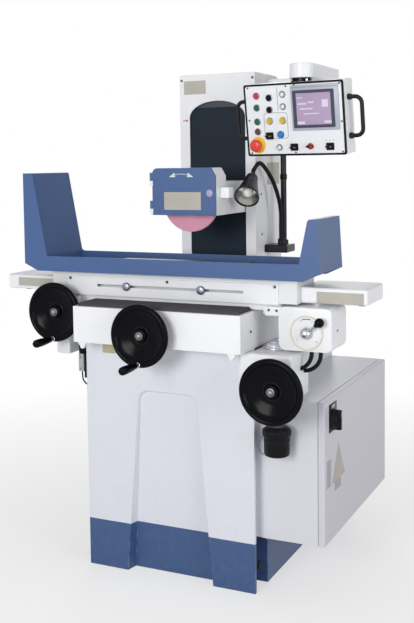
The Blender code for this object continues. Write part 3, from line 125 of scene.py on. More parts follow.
class Graph:
    """The node tree of a material round its Principled shader, or of a world."""

    def __init__(self, name: str, world: bpy.types.World | None = None) -> None:
        """Starts an empty tree with its output.

        Args:
            name: The new material's name.
            world: The world to work in, in place of a new material.
        """
        self.material = world or bpy.data.materials.new(name)
        self.material.use_nodes = True
        self.tree = self.material.node_tree
        self.tree.nodes.clear()
        kind = "ShaderNodeOutputWorld" if world else "ShaderNodeOutputMaterial"
        self.shader = None if world else self.add("ShaderNodeBsdfPrincipled", {}, {})
        self.end = self.add(kind, {}, {})
        if self.shader:
            self.surface(Wire(self, self.shader.outputs[0]))

    def surface(self, wire: Wire) -> None:
        """Makes a shader the one that shows."""
        self.tree.links.new(wire.socket, self.end.inputs["Surface"])

    def add(self, kind: str, settings: dict[str, Any],
            inputs: dict[Any, Any]) -> bpy.types.Node:
        """Makes one node: its type, then its settings, then its inputs.

        Args:
            kind: The node's type name.
            settings: Its properties; "stops" gives a ramp's positions and colours.
            inputs: Values or wires by socket name or index.

        Returns:
            The node.
        """
        item = self.tree.nodes.new(kind)
        for key, value in settings.items():
            if key != "stops":
                setattr(item, key, value)
                continue
            ramp = item.color_ramp.elements
            ramp[0].position, ramp[0].color = value[0][0], (*value[0][1], 1)
            ramp[1].position, ramp[1].color = value[-1][0], (*value[-1][1], 1)
            for place, colour in value[1:-1]:
                ramp.new(place).color = (*colour, 1)
        for key, value in inputs.items():
            if isinstance(value, Wire):
                self.tree.links.new(value.socket, item.inputs[key])
            else:
                item.inputs[key].default_value = value
        return item

    def node(self, kind: str, settings: dict[str, Any], inputs: dict[Any, Any],
             output: Any = 0) -> Wire:
        """Adds one node and hands on one of its outputs.

        Args:
            kind: The node's type name.
            settings: Its properties.
            inputs: Values or wires by socket name or index.
            output: The name or index of the output that is returned.

        Returns:
            The chosen output.
        """
        return Wire(self, self.add(kind, settings, inputs).outputs[output])

    def plain_rays(self) -> Wire:
        """Tells the rays that see the plain surroundings.

        Returns:
            1 for camera, glossy and transmitted rays, 0 for the others.
        """
        path = self.add("ShaderNodeLightPath", {}, {})
        camera, glossy, through = (Wire(self, path.outputs[f"Is {kind} Ray"])
                                   for kind in ("Camera", "Glossy", "Transmission"))
        return (camera + glossy + through).clamped()

    def set(self, **values: Any) -> None:
        """Sets sockets of the shader, named with underscores for spaces.

        Args:
            values: Values or wires, by socket.
        """
        for key, value in values.items():
            socket = self.shader.inputs[key.replace("_", " ")]
            if isinstance(value, Wire):
                self.tree.links.new(value.socket, socket)
            elif isinstance(value, tuple) and len(value) == 3:
                socket.default_value = (*value, 1)
            else:
                socket.default_value = value

    def place(self) -> Wire:
        """The point on the piece, in the frame's coordinates at rest."""
        return self.node("ShaderNodeTexCoord", {}, {}, "Object")

    def height(self) -> Wire:
        """The point's height at rest."""
        return self.node("ShaderNodeSeparateXYZ", {}, {0: self.place()}, 2)

    def noise(self, scale: float, detail: float = 3.0, stretch: Point = (1, 1, 1),
              roughness: float = 0.55) -> Wire:
        """Cloudy noise from 0 to 1.

        Args:
            scale: Features per metre.
            detail: Octaves.
            stretch: Scale along X, Y and Z.
            roughness: Strength of the fine octaves.

        Returns:
            The noise value.
        """
        at = self.node("ShaderNodeMapping", {}, {"Vector": self.place(), "Scale": stretch})
        return self.node("ShaderNodeTexNoise", {},
                         {"Vector": at, "Scale": scale, "Detail": detail,
                          "Roughness": roughness})

    def grains(self, scale: float) -> Wire:
        """Distance to the nearest of many scattered grains."""
        return self.node("ShaderNodeTexVoronoi", {}, {"Vector": self.place(), "Scale": scale})

    def ramp(self, value: Wire, low: float, high: float) -> Wire:
        """0 below low, 1 above high, straight between."""
        return self.node("ShaderNodeMapRange", {}, {"Value": value, "From Min": low,
                                                   "From Max": high})

    def mix(self, factor: Any, a: Any, b: Any) -> Wire:
        """Colour a turned into colour b by factor."""
        a, b = [(*c, 1) if isinstance(c, tuple) else c for c in (a, b)]
        return self.node("ShaderNodeMix", {"data_type": "RGBA"}, {0: factor, 6: a, 7: b}, 2)

    def rounded(self, radius: float) -> Wire:
        """The surface's normal with its corners rounded off to a radius."""
        return self.node("ShaderNodeBevel", {"samples": 4}, {"Radius": radius})

    def edges(self, radius: float) -> Wire:
        """A mask that rises towards corners and creases.

        Args:
            radius: How far from a corner the mask reaches, in metres.

        Returns:
            The mask, from 0 to 1.
        """
        flat = self.node("ShaderNodeNewGeometry", {}, {}, "Normal")
        same = self.node("ShaderNodeVectorMath", {"operation": "DOT_PRODUCT"},
                         {0: self.rounded(radius), 1: flat}, 1)
        return ((1.0 - same) * 4.0).clamped()

    def relief(self, height: Wire, distance: float, radius: float = 0.0) -> None:
        """Gives the shader a bump, over rounded corners where a radius is given.

        Args:
            height: The relief, from 0 to 1.
            distance: How deep the relief is, in metres.
            radius: The corners' rounding, or 0 for none.
        """
        inputs = {"Height": height, "Distance": distance, "Strength": 1.0}
        if radius:
            inputs["Normal"] = self.rounded(radius)
        self.set(Normal=self.node("ShaderNodeBump", {}, inputs))


# ---- finishes -----------------------------------------------------------------------------------
@dataclass(frozen=True)
class Finish:
    """A surface finish; its material is made once and shared."""

    name: str

    def shade(self, graph: Graph) -> None:
        """Fills the graph; each finish says how."""
        raise NotImplementedError

    def material(self) -> bpy.types.Material:
        """The finish's material, made at its first use.

        Returns:
            The material.
        """
        found = bpy.data.materials.get(self.name)
        if found:
            return found
        graph = Graph(self.name)
        self.shade(graph)
        return graph.material


@dataclass(frozen=True)
class Enamel(Finish):
    """Machine enamel: faint orange peel, soft corners, thin grime and rubbed edges."""

    colour: Colour
    foot: Colour | None = None
    foot_height: float = 0.16
    roughness: float = 0.36
    peel: float = 0.00022
    grime: float = 0.10
    corner: float = 0.0018

    def shade(self, graph: Graph) -> None:
        """Cloudy tone over the colour, specks of grime that thicken low down, paler edges.

        Args:
            graph: The material's graph.
        """
        cloud = graph.noise(2.6, 3.0)
        speck = graph.noise(55.0, 4.0)
        darker = tuple(c * 0.955 for c in self.colour)
        paint = graph.mix(cloud, darker, tuple(min(1.0, c * 1.025) for c in self.colour))
        if self.foot:
            below = (graph.height() + graph.noise(40.0) * 0.0012) < self.foot_height
            foot = graph.mix(cloud, tuple(c * 0.86 for c in self.foot), self.foot)
            paint = graph.mix(below, paint, foot)
        low = 1.0 - graph.ramp(graph.height(), 0.0, 0.5)
        dirt = graph.ramp(speck, 0.45, 0.85) * (0.35 + low * 0.65) * self.grime
        paint = graph.mix(dirt, paint, (0.30, 0.285, 0.26))
        edge = graph.edges(0.003)
        worn = edge * graph.ramp(speck, 0.40, 0.62)
        light = tuple(min(1.0, c * 1.12 + 0.06) for c in self.colour)
        paint = graph.mix(worn * 0.45, paint, light)
        graph.set(Base_Color=paint, Specular_IOR_Level=0.32,
                  Roughness=self.roughness + (cloud - 0.5) * 0.10 + dirt * 0.8)
        graph.relief(graph.noise(260.0, 2.0), self.peel, self.corner)


@dataclass(frozen=True)
class Moulded(Finish):
    """Glossy or satin moulding in black or a signal colour, with fine handling marks."""

    colour: Colour
    roughness: float = 0.22
    coat: float = 0.0
    gloss: float = 0.25
    texture: float = 0.00006
    scale: float = 700.0
    dust: float = 0.05

    def shade(self, graph: Graph) -> None:
        """Tone, dust and scuffs over the moulded colour.

        Args:
            graph: The material's graph.
        """
        cloud = graph.noise(18.0, 3.0)
        scuff = graph.noise(60.0, 5.0, (1.0, 1.0, 6.0))
        tone = graph.mix(cloud, tuple(c * 0.85 for c in self.colour),
                         tuple(min(1.0, c * 1.12 + 0.002) for c in self.colour))
        dusty = graph.ramp(scuff, 0.52, 0.85) * self.dust
        edge = graph.edges(0.0012) * 0.12
        tone = graph.mix(dusty + edge, tone, (0.42, 0.41, 0.40))
        graph.set(Base_Color=tone, Roughness=self.roughness + dusty * 2.0 + (cloud - 0.5) * 0.08,
                  Coat_Weight=self.coat, Coat_Roughness=0.06, Specular_IOR_Level=self.gloss)
        graph.relief(graph.noise(self.scale, 2.0), self.texture, 0.0006)


@dataclass(frozen=True)
class Steel(Finish):
    """Bare metal with a grain along one direction, faint stains and bright edges."""

    colour: Colour = (0.56, 0.565, 0.575)
    roughness: float = 0.30
    grain: Point = (1.0, 1.0, 1.0)
    scale: float = 500.0
    depth: float = 0.00003
    stain: float = 0.25

    def shade(self, graph: Graph) -> None:
        """Streaks of grain, oil stains, and corners polished by use.

        Args:
            graph: The material's graph.
        """
        streak = graph.noise(self.scale, 4.0, self.grain)
        blot = graph.ramp(graph.noise(16.0, 4.0), 0.42, 0.78)
        tone = graph.mix(streak, tuple(c * 0.82 for c in self.colour),
                         tuple(min(1.0, c * 1.14) for c in self.colour))
        tone = graph.mix(blot * self.stain, tone, (0.24, 0.21, 0.18))
        tone = graph.mix(graph.edges(0.001) * 0.5, tone, (0.85, 0.85, 0.86))
        graph.set(Base_Color=tone, Metallic=1.0 - blot * self.stain * 0.4,
                  Roughness=self.roughness + (streak - 0.5) * 0.16 + blot * self.stain * 0.3)
        graph.relief(streak, self.depth, 0.0006)


@dataclass(frozen=True)
class GroundTop(Finish):
    """A ground working face over painted sides."""

    level: float
    paint: Colour = (0.78, 0.79, 0.80)

    def shade(self, graph: Graph) -> None:
        """Lengthwise grinding streaks above the level, enamel below it.

        Args:
            graph: The material's graph.
        """
        streak = graph.noise(420.0, 4.0, (0.02, 1.0, 1.0))
        cloud = graph.noise(4.0, 3.0)
        bare = 1.0 - (graph.height() < self.level)
        blot = graph.ramp(graph.noise(14.0, 4.0), 0.45, 0.8) * bare
        steel = graph.mix(streak, (0.115, 0.125, 0.145), (0.23, 0.24, 0.26))
        steel = graph.mix(blot * 0.35, steel, (0.20, 0.18, 0.16))
        coat = graph.mix(cloud, tuple(c * 0.95 for c in self.paint), self.paint)
        tone = graph.mix(bare, coat, steel)
        tone = graph.mix(graph.edges(0.001) * 0.15, tone, (0.60, 0.60, 0.61))
        graph.set(Base_Color=tone, Metallic=bare * 0.9, Specular_IOR_Level=0.4,
                  Roughness=0.36 + (streak - 0.5) * 0.14 + blot * 0.2)
        graph.relief(streak, 0.00003, 0.0012)


@dataclass(frozen=True)
class WayCover(Finish):
    """Dark telescopic sheet with fine drawing lines across it, oil smears and a painted sheen."""

    colour: Colour = (0.012, 0.019, 0.029)

    def shade(self, graph: Graph) -> None:
        """Lines across the travel, and oil smears along it that are rougher and carry a painted
        sheen in a paler colour.

        Args:
            graph: The material's graph.
        """
        lines = graph.noise(520.0, 2.0, (0.02, 0.02, 1.0))
        smear_and_sheen = graph.noise(9.0, 4.0, (1.0, 1.0, 0.25))
        tone = graph.mix(lines, tuple(c * 0.7 for c in self.colour),
                         tuple(c * 1.6 for c in self.colour))
        # Painted sheen: along the smears the dark colour turns paler blue, standing in for light
        # off the oil; the same mask also makes the smears rougher.
        tone = graph.mix(graph.ramp(smear_and_sheen, 0.45, 0.8) * 0.35, tone, (0.020, 0.028, 0.040))
        graph.set(Base_Color=tone, Specular_IOR_Level=0.09,
                  Roughness=0.36 + smear_and_sheen * 0.22 + (lines - 0.5) * 0.08)
        graph.relief(lines, 0.00008, 0.0006)


@dataclass(frozen=True)
class Abrasive(Finish):
    """Vitrified abrasive: packed grains in a pale bond, dusty on its faces."""

    colour: Colour = (0.93, 0.40, 0.56)

    def shade(self, graph: Graph) -> None:
        """Grain by grain tone and pits, with a soft bloom of dust.

        Args:
            graph: The material's graph.
        """
        grain = graph.grains(1500.0)
        bloom = graph.noise(22.0, 3.0)
        tone = graph.mix(graph.ramp(grain, 0.1, 0.7), tuple(c * 1.12 for c in self.colour),
                         tuple(c * 0.72 for c in self.colour))
        tone = graph.mix(bloom * 0.35, tone, (0.86, 0.58, 0.64))
        graph.set(Base_Color=tone, Roughness=0.92, Specular_IOR_Level=0.2)
        graph.relief(grain, 0.0004, 0.0006)


@dataclass(frozen=True)
class Cloth(Finish):
    """Coated bellows cloth: a tight weave under a rubbery skin, greyer on the folds."""

    colour: Colour = (0.050, 0.046, 0.050)

    def shade(self, graph: Graph) -> None:
        """Weave relief, rubbed crests and settled dust.

        Args:
            graph: The material's graph.
        """
        weave = graph.node("ShaderNodeTexWave", {"bands_direction": "X"},
                           {"Vector": graph.place(), "Scale": 260.0, "Distortion": 0.6})
        weft = graph.node("ShaderNodeTexWave", {"bands_direction": "Y"},
                          {"Vector": graph.place(), "Scale": 260.0, "Distortion": 0.6})
        dust = graph.ramp(graph.noise(30.0, 4.0), 0.4, 0.8)
        tone = graph.mix(weave * weft, self.colour, tuple(c * 1.5 for c in self.colour))
        tone = graph.mix(dust * 0.25 + graph.edges(0.002) * 0.3, tone, (0.15, 0.14, 0.14))
        graph.set(Base_Color=tone, Roughness=0.62 + dust * 0.2, Specular_IOR_Level=0.2)
        graph.relief(weave * weft, 0.0001)


@dataclass(frozen=True)
class Screen(Finish):
    """A lit display seen in daylight: a lilac glow under glass, fading to one side."""

    colour: Colour = (0.36, 0.26, 0.43)

    def shade(self, graph: Graph) -> None:
        """Glow that drifts across the panel under a smooth coat.

        Args:
            graph: The material's graph.
        """
        drift = graph.noise(9.0, 2.0)
        lines = graph.noise(1400.0, 1.0, (0.05, 0.05, 1.0))
        tone = graph.mix(drift, tuple(c * 0.8 for c in self.colour), (0.50, 0.38, 0.56))
        tone = graph.mix(lines * 0.12, tone, (0.30, 0.22, 0.40))
        graph.set(Base_Color=tone, Emission_Color=tone, Emission_Strength=0.08,
                  Roughness=0.10 + drift * 0.06, Coat_Weight=0.6, Coat_Roughness=0.03)
        graph.relief(lines, 0.00001)


@dataclass(frozen=True)
class Clear(Finish):
    """Tinted clear plastic, a little scratched."""

    colour: Colour = (0.72, 0.70, 0.80)

    def shade(self, graph: Graph) -> None:
        """Pale body with a clear, softly marked surface.

        Args:
            graph: The material's graph.
        """
        mark = graph.noise(70.0, 4.0, (1.0, 1.0, 4.0))
        tone = graph.mix(mark, self.colour, tuple(min(1.0, c * 1.25) for c in self.colour))
        graph.set(Base_Color=tone, Roughness=0.08 + mark * 0.12, Coat_Weight=0.5)
        graph.shader.inputs["Transmission Weight"].default_value = 0.35
        graph.relief(mark, 0.0001, 0.001)


WHITE = Enamel("machine_white", (0.835, 0.845, 0.87))
BASE_WHITE = Enamel("base_white_blue", (0.690, 0.705, 0.765), foot=(0.050, 0.100, 0.235),
                    grime=0.10, peel=0.0003, corner=0.003)
CABINET = Enamel("cabinet_grey", (0.645, 0.655, 0.70), grime=0.08)
DOOR_GREY = Enamel("door_grey", (0.60, 0.59, 0.655), grime=0.08)
BLUE = Enamel("guard_blue", (0.058, 0.115, 0.270), roughness=0.42, grime=0.06)
# Painted shade: near-black enamel for the column casting inside its cover, dark because it lies
# where light does not reach.
INNER_PAINTED_SHADE = Enamel("casting_painted_shade", (0.045, 0.052, 0.065), roughness=0.5, peel=0.0006)
MOTOR_GREY = Enamel("motor_grey", (0.20, 0.21, 0.23), roughness=0.45)
PLATE_PALE = Moulded("plate_pale", (0.46, 0.44, 0.39), roughness=0.45)
PLATE_GREY = Moulded("plate_grey", (0.40, 0.37, 0.43), roughness=0.45)
TURNED = Steel("turned_bright", (0.60, 0.605, 0.615), 0.20, scale=260.0, stain=0.06)
DOG_STEEL = Steel("dog_bright", (0.25, 0.27, 0.33), 0.36, scale=200.0, stain=0.15)
HUB_GREY = Steel("hub_grey", (0.20, 0.205, 0.215), 0.34, scale=160.0, stain=0.20)
CHROME = Steel("plated", (0.52, 0.53, 0.58), 0.24, scale=120.0, stain=0.05)
SCREW_BLACK = Steel("blacked_screw", (0.05, 0.05, 0.055), 0.45, scale=300.0, stain=0.4)
WHEEL_BLACK = Moulded("handwheel_black", (0.0026, 0.0028, 0.0040), 0.17, gloss=0.055, dust=0.002)
BLACK = Moulded("black_moulding", (0.005, 0.005, 0.007), 0.30, gloss=0.10, dust=0.01)
HANDLE_BLACK = Moulded("handle_black", (0.007, 0.007, 0.008), 0.36, gloss=0.2, texture=0.0002,
                       dust=0.02)
RUBBER = Moulded("black_rubber", (0.007, 0.007, 0.008), 0.55, gloss=0.12, texture=0.0002,
                 scale=400.0, dust=0.03)
SHADE_BLACK = Moulded("shade_black", (0.007, 0.008, 0.011), 0.30, gloss=0.22, texture=0.00012,
                      dust=0.02)
REFLECTOR = Steel("reflector", (0.86, 0.86, 0.85), 0.22, scale=400.0, stain=0.0)
BULB = Moulded("frosted_bulb", (0.86, 0.85, 0.80), 0.30)
CREAM = Moulded("dial_cream", (0.70, 0.66, 0.50), 0.40, dust=0.03)
MARK_BLACK = Moulded("mark_black", (0.02, 0.02, 0.022), 0.5)
MARK_WHITE = Moulded("mark_white", (0.82, 0.83, 0.84), 0.45)
MARK_RED = Moulded("mark_red", (0.55, 0.06, 0.05), 0.45)
LINE_GREY = Moulded("line_grey", (0.10, 0.11, 0.13), 0.5)
RED = Moulded("signal_red", (0.50, 0.030, 0.035), 0.28, coat=0.3)
STOP_RED = Moulded("stop_red", (0.75, 0.050, 0.030), 0.30, coat=0.3)
GREEN = Moulded("signal_green", (0.010, 0.085, 0.055), 0.28, coat=0.3)
YELLOW = Moulded("signal_yellow", (0.62, 0.45, 0.030), 0.28, coat=0.3)
STOP_YELLOW = Moulded("disc_yellow", (0.85, 0.55, 0.045), 0.42)
BROWN = Moulded("signal_brown", (0.085, 0.040, 0.030), 0.28, coat=0.3)
SKY = Moulded("signal_blue", (0.012, 0.20, 0.50), 0.28, coat=0.3)
LENS = Moulded("pilot_lens", (0.80, 0.82, 0.80), 0.18, coat=0.6)
SILVER_GREY = Enamel("bezel_silver", (0.42, 0.44, 0.52), roughness=0.30, grime=0.03)
FRAME_DARK = Moulded("frame_dark", (0.055, 0.058, 0.095), 0.35)
GLOW = Screen("display_glow")
GLOW_BAR = Moulded("display_bar", (0.74, 0.68, 0.80), 0.25)
LILAC = Moulded("plug_lilac", (0.42, 0.36, 0.58), 0.35)
TANK = Clear("clear_bowl")
HOUSING_SIDE = Enamel("switch_grey", (0.40, 0.41, 0.43), roughness=0.35)


class Cap(Enum):
    """The colours of the push buttons' caps."""

    RED = RED
    BLACK = BLACK
    GREEN = GREEN
    YELLOW = YELLOW
    BROWN = BROWN
    BLUE = SKY


# ---- shapes -------------------------------------------------------------------------------------
class Lump:
    """A mesh under construction, in the frame's coordinates or in a local place."""

    def __init__(self, place: Matrix | None = None) -> None:
        """Starts an empty mesh.

        Args:
            place: Where local coordinates lie in the frame, or None for the frame itself.
        """
        self.shape = bmesh.new()
        self.place = place or Matrix.Identity(4)

    def ring(self, centre: Vector, side: Vector, up: Vector, radius: float,
             count: int) -> list[bmesh.types.BMVert]:
        """A circle of vertices; side and up are unit vectors in its plane.

        Args:
            centre: The circle's middle.
            side: A unit vector in its plane.
            up: The unit vector across it.
            radius: The radius.
            count: How many vertices.

        Returns:
            The vertices in order.
        """
        out = []
        for i in range(count):
            a = math.tau * i / count
            point = centre + (side * math.cos(a) + up * math.sin(a)) * radius
            out.append(self.shape.verts.new(self.place @ point))
        return out

    def skin(self, rings: list[list[bmesh.types.BMVert]], caps: bool = True) -> "Lump":
        """Joins rings of equal count with quads and closes the ends.

        Args:
            rings: Rings of equal count, in order.
            caps: Whether both ends are closed.

        Returns:
            The same lump.
        """
        for a, b in zip(rings, rings[1:]):
            for i in range(len(a)):
                j = (i + 1) % len(a)
                self.shape.faces.new((a[i], a[j], b[j], b[i]))
        if caps:
            self.shape.faces.new(list(reversed(rings[0])))
            self.shape.faces.new(rings[-1])
        return self

    def lathe(self, profile: Profile, at: Sequence[float], axis: Sequence[float],
              count: int = 64, waves: int = 0, wave: float = 0.0,
              closed: bool = False) -> "Lump":
        """Turns (radius, height) points about an axis.

        Args:
            profile: The outline from one end to the other.
            at: The axis's foot.
            axis: The axis's direction, along which heights grow.
            count: Points round each circle.
            waves: Flutes round the widest circles, for a knurl.
            wave: The flutes' depth.
            closed: Whether the last circle meets the first.

        Returns:
            The same lump.
        """
        z = Vector(axis).normalized()
        x = z.orthogonal().normalized()
        y = z.cross(x)
        foot = Vector(at)
        wide = max(r for r, _ in profile)
        rings = []
        for r, h in profile:
            row = []
            for i in range(count):
                a = math.tau * i / count
                rr = max(r, 1e-5)
                if waves and r > wide - wave * 1.5:
                    rr = r - wave * (0.5 - 0.5 * math.cos(a * waves))
                row.append(self.shape.verts.new(
                    self.place @ (foot + z * h + (x * math.cos(a) + y * math.sin(a)) * rr)))
            rings.append(row)
        if closed:
            rings.append(rings[0])
        return self.skin(rings, not closed)

    def tube(self, points: Sequence[Sequence[float]], radius: float, count: int = 16,
             ribs: float = 0.0, pitch: float = 0.004) -> "Lump":
        """Sweeps a circle along points.

        Args:
            points: The middle line.
            radius: The tube's radius.
            count: Points round it.
            ribs: Depth of the rings round a ribbed hose.
            pitch: Distance from one rib to the next.

        Returns:
            The same lump.
        """
        path = [Vector(p) for p in points]
        if ribs:
            path = resampled(path, pitch / 4)
        along = [((path[min(i + 1, len(path) - 1)] - path[max(i - 1, 0)]).normalized())
                 for i in range(len(path))]
        side = along[0].orthogonal().normalized()
        rings = []
        for i, (point, d) in enumerate(zip(path, along)):
            side = (side - d * side.dot(d)).normalized()
            r = radius - (ribs * (0.5 - 0.5 * math.cos(math.tau * i / 4)) if ribs else 0.0)
            rings.append(self.ring(point, side, d.cross(side), r, count))
        return self.skin(rings)

    def slab(self, low: Sequence[float], high: Sequence[float], round_by: float = 0.0,
             steps: int = 3) -> "Lump":
        """A block with rounded edges.

        Args:
            low: Its lowest corner.
            high: Its highest corner.
            round_by: The edges' radius.
            steps: Facets in each rounding.

        Returns:
            The same lump.
        """
        part = bmesh.new()
        bmesh.ops.create_cube(part, size=1.0)
        for vert in part.verts:
            vert.co = Vector([(a + b) / 2 + c * (b - a) for a, b, c in zip(low, high, vert.co)])
        if round_by:
            bmesh.ops.bevel(part, geom=part.edges[:], offset=round_by, segments=steps,
                            affect="EDGES", profile=0.5)
        return self.take(part)

    def sheet(self, outline: Profile, low: float, high: float, axis: str = "y",
              round_by: float = 0.0) -> "Lump":
        """A flat piece cut to an outline.

        Args:
            outline: Points across the sheet: (x, z) for y, (y, z) for x, (x, y) for z.
            low: Where it starts along the axis.
            high: Where it ends.
            axis: The axis through its thickness.
            round_by: A bevel round both faces.

        Returns:
            The same lump.
        """
        def point(u: float, v: float, w: float) -> Vector:
            """A point of the sheet in three dimensions."""
            return Vector({"x": (w, u, v), "y": (u, w, v), "z": (u, v, w)}[axis])
        part = bmesh.new()
        bottom = [part.verts.new(point(u, v, low)) for u, v in outline]
        top = [part.verts.new(point(u, v, high)) for u, v in outline]
        faces = [part.faces.new(bottom[::-1]), part.faces.new(top)]
        for i in range(len(outline)):
            j = (i + 1) % len(outline)
            part.faces.new((bottom[i], bottom[j], top[j], top[i]))
        if round_by:
            rim = {edge for face in faces for edge in face.edges}
            bmesh.ops.bevel(part, geom=list(rim), offset=round_by, segments=2,
                            affect="EDGES", profile=0.5)
        return self.take(part)

    def frame(self, outer: Profile, inner: Profile, low: float, high: float) -> "Lump":
        """A flat ring in the XZ plane between two outlines of equal count.

        Args:
            outer: The outer outline, as (x, z).
            inner: The inner outline, point for point.
            low: Where it starts along Y.
            high: Where it ends.

        Returns:
            The same lump.
        """
        part = bmesh.new()
        rows = [[part.verts.new((u, w, v)) for u, v in line]
                for line, w in ((outer, low), (inner, low), (inner, high), (outer, high))]
        rows.append(rows[0])
        for a, b in zip(rows, rows[1:]):
            for i in range(len(a)):
                j = (i + 1) % len(a)
                part.faces.new((a[i], a[j], b[j], b[i]))
        return self.take(part)

    def take(self, part: bmesh.types.BMesh) -> "Lump":
        """Moves a finished mesh into this one.

        Args:
            part: The mesh, which is freed.

        Returns:
            The same lump.
        """
        mesh = bpy.data.meshes.new("part")
        part.to_mesh(mesh)
        part.free()
        mesh.transform(self.place)
        self.shape.from_mesh(mesh)
        bpy.data.meshes.remove(mesh)
        return self

    def screw(self, at: Sequence[float], axis: Sequence[float], radius: float) -> "Lump":
        """A socket cap screw standing on a surface, its hexagon sunk in its head.

        Args:
            at: The middle of its seat.
            axis: The way its head points.
            radius: The head's radius.

        Returns:
            The same lump.
        """
        r, h = radius, radius * 0.55
        self.lathe([(r * 0.5, h * 0.35), (r * 0.52, h), (r * 0.86, h), (r, h * 0.75), (r, 0)],
                   at, axis, 24)
        return self.lathe([(r * 0.5, h * 0.35), (r * 0.5, h * 0.36)], at, axis, 6)

    def done(self, name: str, smooth: float = 35.0) -> bpy.types.Object:
        """Makes the object.

        Args:
            name: The piece's name.
            smooth: Corners sharper than this many degrees stay sharp.

        Returns:
            The piece, at the origin.
        """
        bmesh.ops.remove_doubles(self.shape, verts=self.shape.verts, dist=1e-7)
        bmesh.ops.recalc_face_normals(self.shape, faces=self.shape.faces)
        limit = math.radians(smooth)
        for face in self.shape.faces:
            face.smooth = True
        for edge in self.shape.edges:
            if len(edge.link_faces) == 2 and edge.calc_face_angle(0.0) > limit:
                edge.smooth = False
        mesh = bpy.data.meshes.new(name)
        self.shape.to_mesh(mesh)
        self.shape.free()
        piece = bpy.data.objects.new(name, mesh)
        bpy.context.scene.collection.objects.link(piece)
        return piece


def resampled(path: Sequence[Vector], step: float) -> list[Vector]:
    """The same line with points a fixed step apart.

    Args:
        path: The points of the line.
        step: The distance between the new points.

    Returns:
        The new points.
    """
    out, left = [path[0]], step
    for a, b in zip(path, path[1:]):
        length = (b - a).length
        at = left
        while at <= length:
            out.append(a + (b - a) * (at / length))
            at += step
        left = at - length
    return out


def curve(points: Sequence[Sequence[float]], count: int = 8) -> list[Vector]:
    """A smooth line through points.

    Args:
        points: The points it passes through.
        count: Steps from one point to the next.

    Returns:
        The line's points.
    """
    p = [Vector(q) for q in points]
    p = [p[0] * 2 - p[1]] + p + [p[-1] * 2 - p[-2]]
    out = []
    for a, b, c, d in zip(p, p[1:], p[2:], p[3:]):
        for i in range(count):
            t = i / count
            out.append(0.5 * ((2 * b) + (c - a) * t + (2 * a - 5 * b + 4 * c - d) * t * t
                              + (3 * b - a - 3 * c + d) * t ** 3))
    return out + [p[-2]]


def round_box(half_x: float, half_z: float, radius: float, steps: int = 5,
              middle: tuple[float, float] = (0.0, 0.0)) -> list[tuple[float, float]]:
    """The outline of a rectangle with round corners, counter-clockwise.

    Args:
        half_x: Half the width.
        half_z: Half the height.
        radius: The corners' radius.
        steps: Facets in each corner.
        middle: Its centre.

    Returns:
        The outline's points.
    """
    out = []
    for quarter, (sx, sz) in enumerate(((1, 1), (-1, 1), (-1, -1), (1, -1))):
        for i in range(steps + 1):
            a = math.radians(90 * (quarter + i / steps))
            out.append((middle[0] + sx * (half_x - radius) + math.cos(a) * radius,
                        middle[1] + sz * (half_z - radius) + math.sin(a) * radius))
    return out


def fit(piece: bpy.types.Object, body: str, finish: Finish, *nodes: str,
        slot: str | None = None) -> bpy.types.Object:
    """Dresses a piece and lets it ride on its body.

    Args:
        piece: The new piece.
        body: The body that carries it.
        finish: Its finish.
        nodes: The frame's nodes that it stands for.
        slot: Not used.

    Returns:
        The same piece.
    """
    piece.data.materials.clear()
    piece.data.materials.append(finish.material())
    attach(piece, body)
    if nodes:
        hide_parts(*nodes)
    LOG.info("%s rides on %s in %s", piece.name, body, finish.name)
    return piece


def paint(finish: Finish, *nodes: str) -> None:
    """Gives nodes of the frame a finish.

    Args:
        finish: The finish.
        nodes: The nodes' names.
    """
    for name in nodes:
        item = frame["nodes"][name]
        if not item.data.materials:
            item.data.materials.append(None)
        for slot in item.material_slots:
            slot.link = "OBJECT"
            slot.material = finish.material()
        LOG.info("%s carries %s", name, finish.name)


